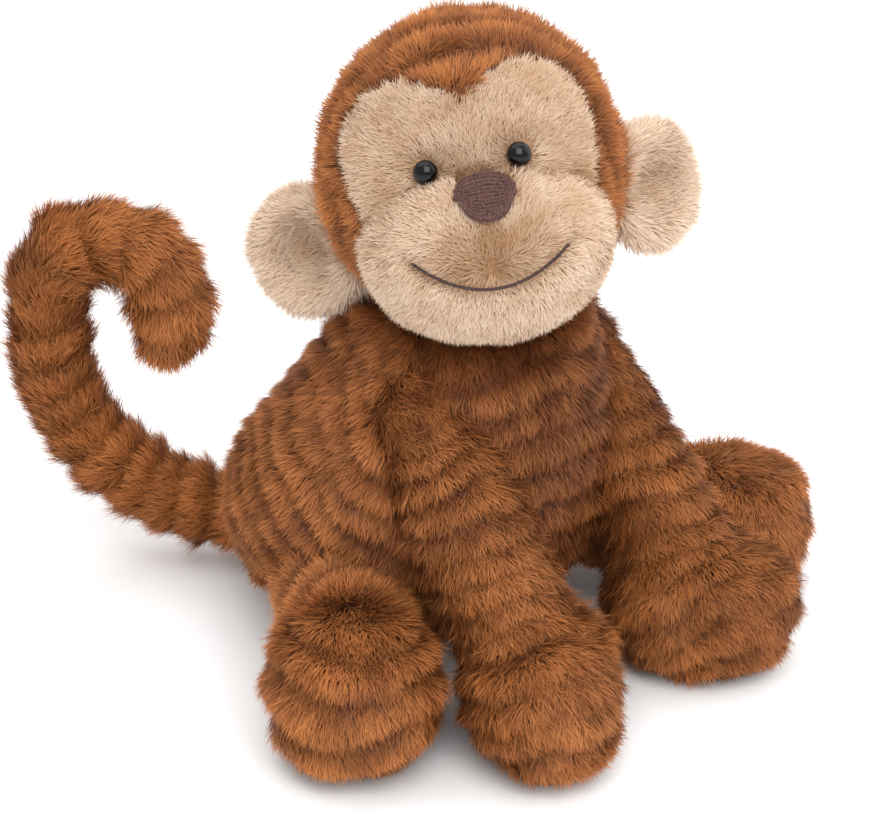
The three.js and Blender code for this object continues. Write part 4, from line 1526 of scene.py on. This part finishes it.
@dataclass(frozen=True)
class Studio:
    """The camera, the pale floor and the soft lights. Metres, but the camera's aim is in millimetres."""

    azimuth: float = -46.0
    elevation: float = 24.0
    distance: float = 0.7328
    aim: tuple[float, float, float] = (0.56, 11.03, 76.3)
    lens: float = 90.0

    def build(self) -> None:
        """Sets up the camera, the floor and the lights."""
        self.add_camera()
        self.add_floor()
        self.add_light("key", (-0.55, -0.75, 1.0), 1.0, 13.0)
        self.add_light("fill", (0.8, -0.5, 0.6), 1.2, 5.0)
        self.add_light("top", (0.0, 0.3, 1.2), 1.4, 8.0)
        world = bpy.data.worlds.new("studio")
        world.use_nodes = True
        shade = world.node_tree.nodes["Background"]
        shade.inputs["Color"].default_value = (1.0, 1.0, 1.0, 1.0)
        shade.inputs["Strength"].default_value = 0.7
        bpy.context.scene.world = world
        bpy.context.scene.view_settings.view_transform = "Standard"

    def add_camera(self) -> None:
        """Places the camera round the aim point."""
        a = math.radians(self.azimuth)
        e = math.radians(self.elevation)
        back = Vector((math.sin(a) * math.cos(e), -math.cos(a) * math.cos(e), math.sin(e)))
        data = bpy.data.cameras.new("camera")
        data.lens = self.lens
        data.sensor_width = 36.0
        data.clip_start = 0.05
        camera = bpy.data.objects.new("camera", data)
        camera.location = place(*self.aim) + back * self.distance
        camera.rotation_euler = back.to_track_quat("Z", "Y").to_euler()
        bpy.context.scene.collection.objects.link(camera)
        bpy.context.scene.camera = camera

    def add_floor(self) -> None:
        """Makes one wide pale floor."""
        work = bmesh.new()
        bmesh.ops.create_grid(work, x_segments=1, y_segments=1, size=6.0)
        mesh = mesh_of(work, "floor")
        material = bpy.data.materials.new("floor_paper")
        material.use_nodes = True
        shader = material.node_tree.nodes["Principled BSDF"]
        shader.inputs["Base Color"].default_value = (0.93, 0.93, 0.93, 1.0)
        shader.inputs["Roughness"].default_value = 0.9
        mesh.materials.append(material)
        floor = show("floor", mesh)

    @staticmethod
    def add_light(name: str, spot: tuple[float, float, float], size: float, power: float) -> None:
        """Adds one softbox aimed at the monkey."""
        data = bpy.data.lights.new(name, "AREA")
        data.shape = "SQUARE"
        data.size = size
        data.energy = power
        light = bpy.data.objects.new(name, data)
        light.location = spot
        way = Vector(spot) - Vector((0.0, 0.0, 0.1))
        light.rotation_euler = way.to_track_quat("Z", "Y").to_euler()
        bpy.context.scene.collection.objects.link(light)


def main() -> None:
    """Builds the monkey around its CAD frame."""
    logging.basicConfig(level=logging.INFO, format="%(message)s")
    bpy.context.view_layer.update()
    Studio().build()
    fur = FurTree()
    stitches = StitchTree()
    body = Body()
    body_skin = body.make_skin()
    limbs = [
        Limb("arm_right", (-38, -12, 96), (-40.5, -68, 23), None, 11),
        Limb("arm_left", (38, -12, 96), (35, -70, 23), None, 12),
        Limb("leg_right", (-44, 12, 31), (-82.5, -30.5, 25), (-80, -27, 54), 13),
        Limb("leg_left", (44, 12, 31), (87, -43, 25), (85, -39, 54), 14),
    ]
    limb_skins = [limb.make_skin() for limb in limbs]
    tail = Tail()
    tail.make_skin()
    head = Head()
    head.make_skins()
    for limb in limbs:
        limb.dress(fur, body_skin)
    tail.dress(fur, body_skin)
    body.dress(fur, [*limb_skins, head.ball])
    hood, face = head.split_ball()
    head.dress_hood(fur, hood)
    head.dress_face(fur, face)
    head.dress_muzzle(fur)
    for side, sign in (("right", -1), ("left", 1)):
        head.dress_ear(fur, side, sign)
        head.add_eye(side, sign)
    head.add_nose(stitches)
    head.add_smile(stitches)
    Insides().build(head)
    discard(fur.hair)
    discard(stitches.stitch)


if __name__ == "__main__":
    main()
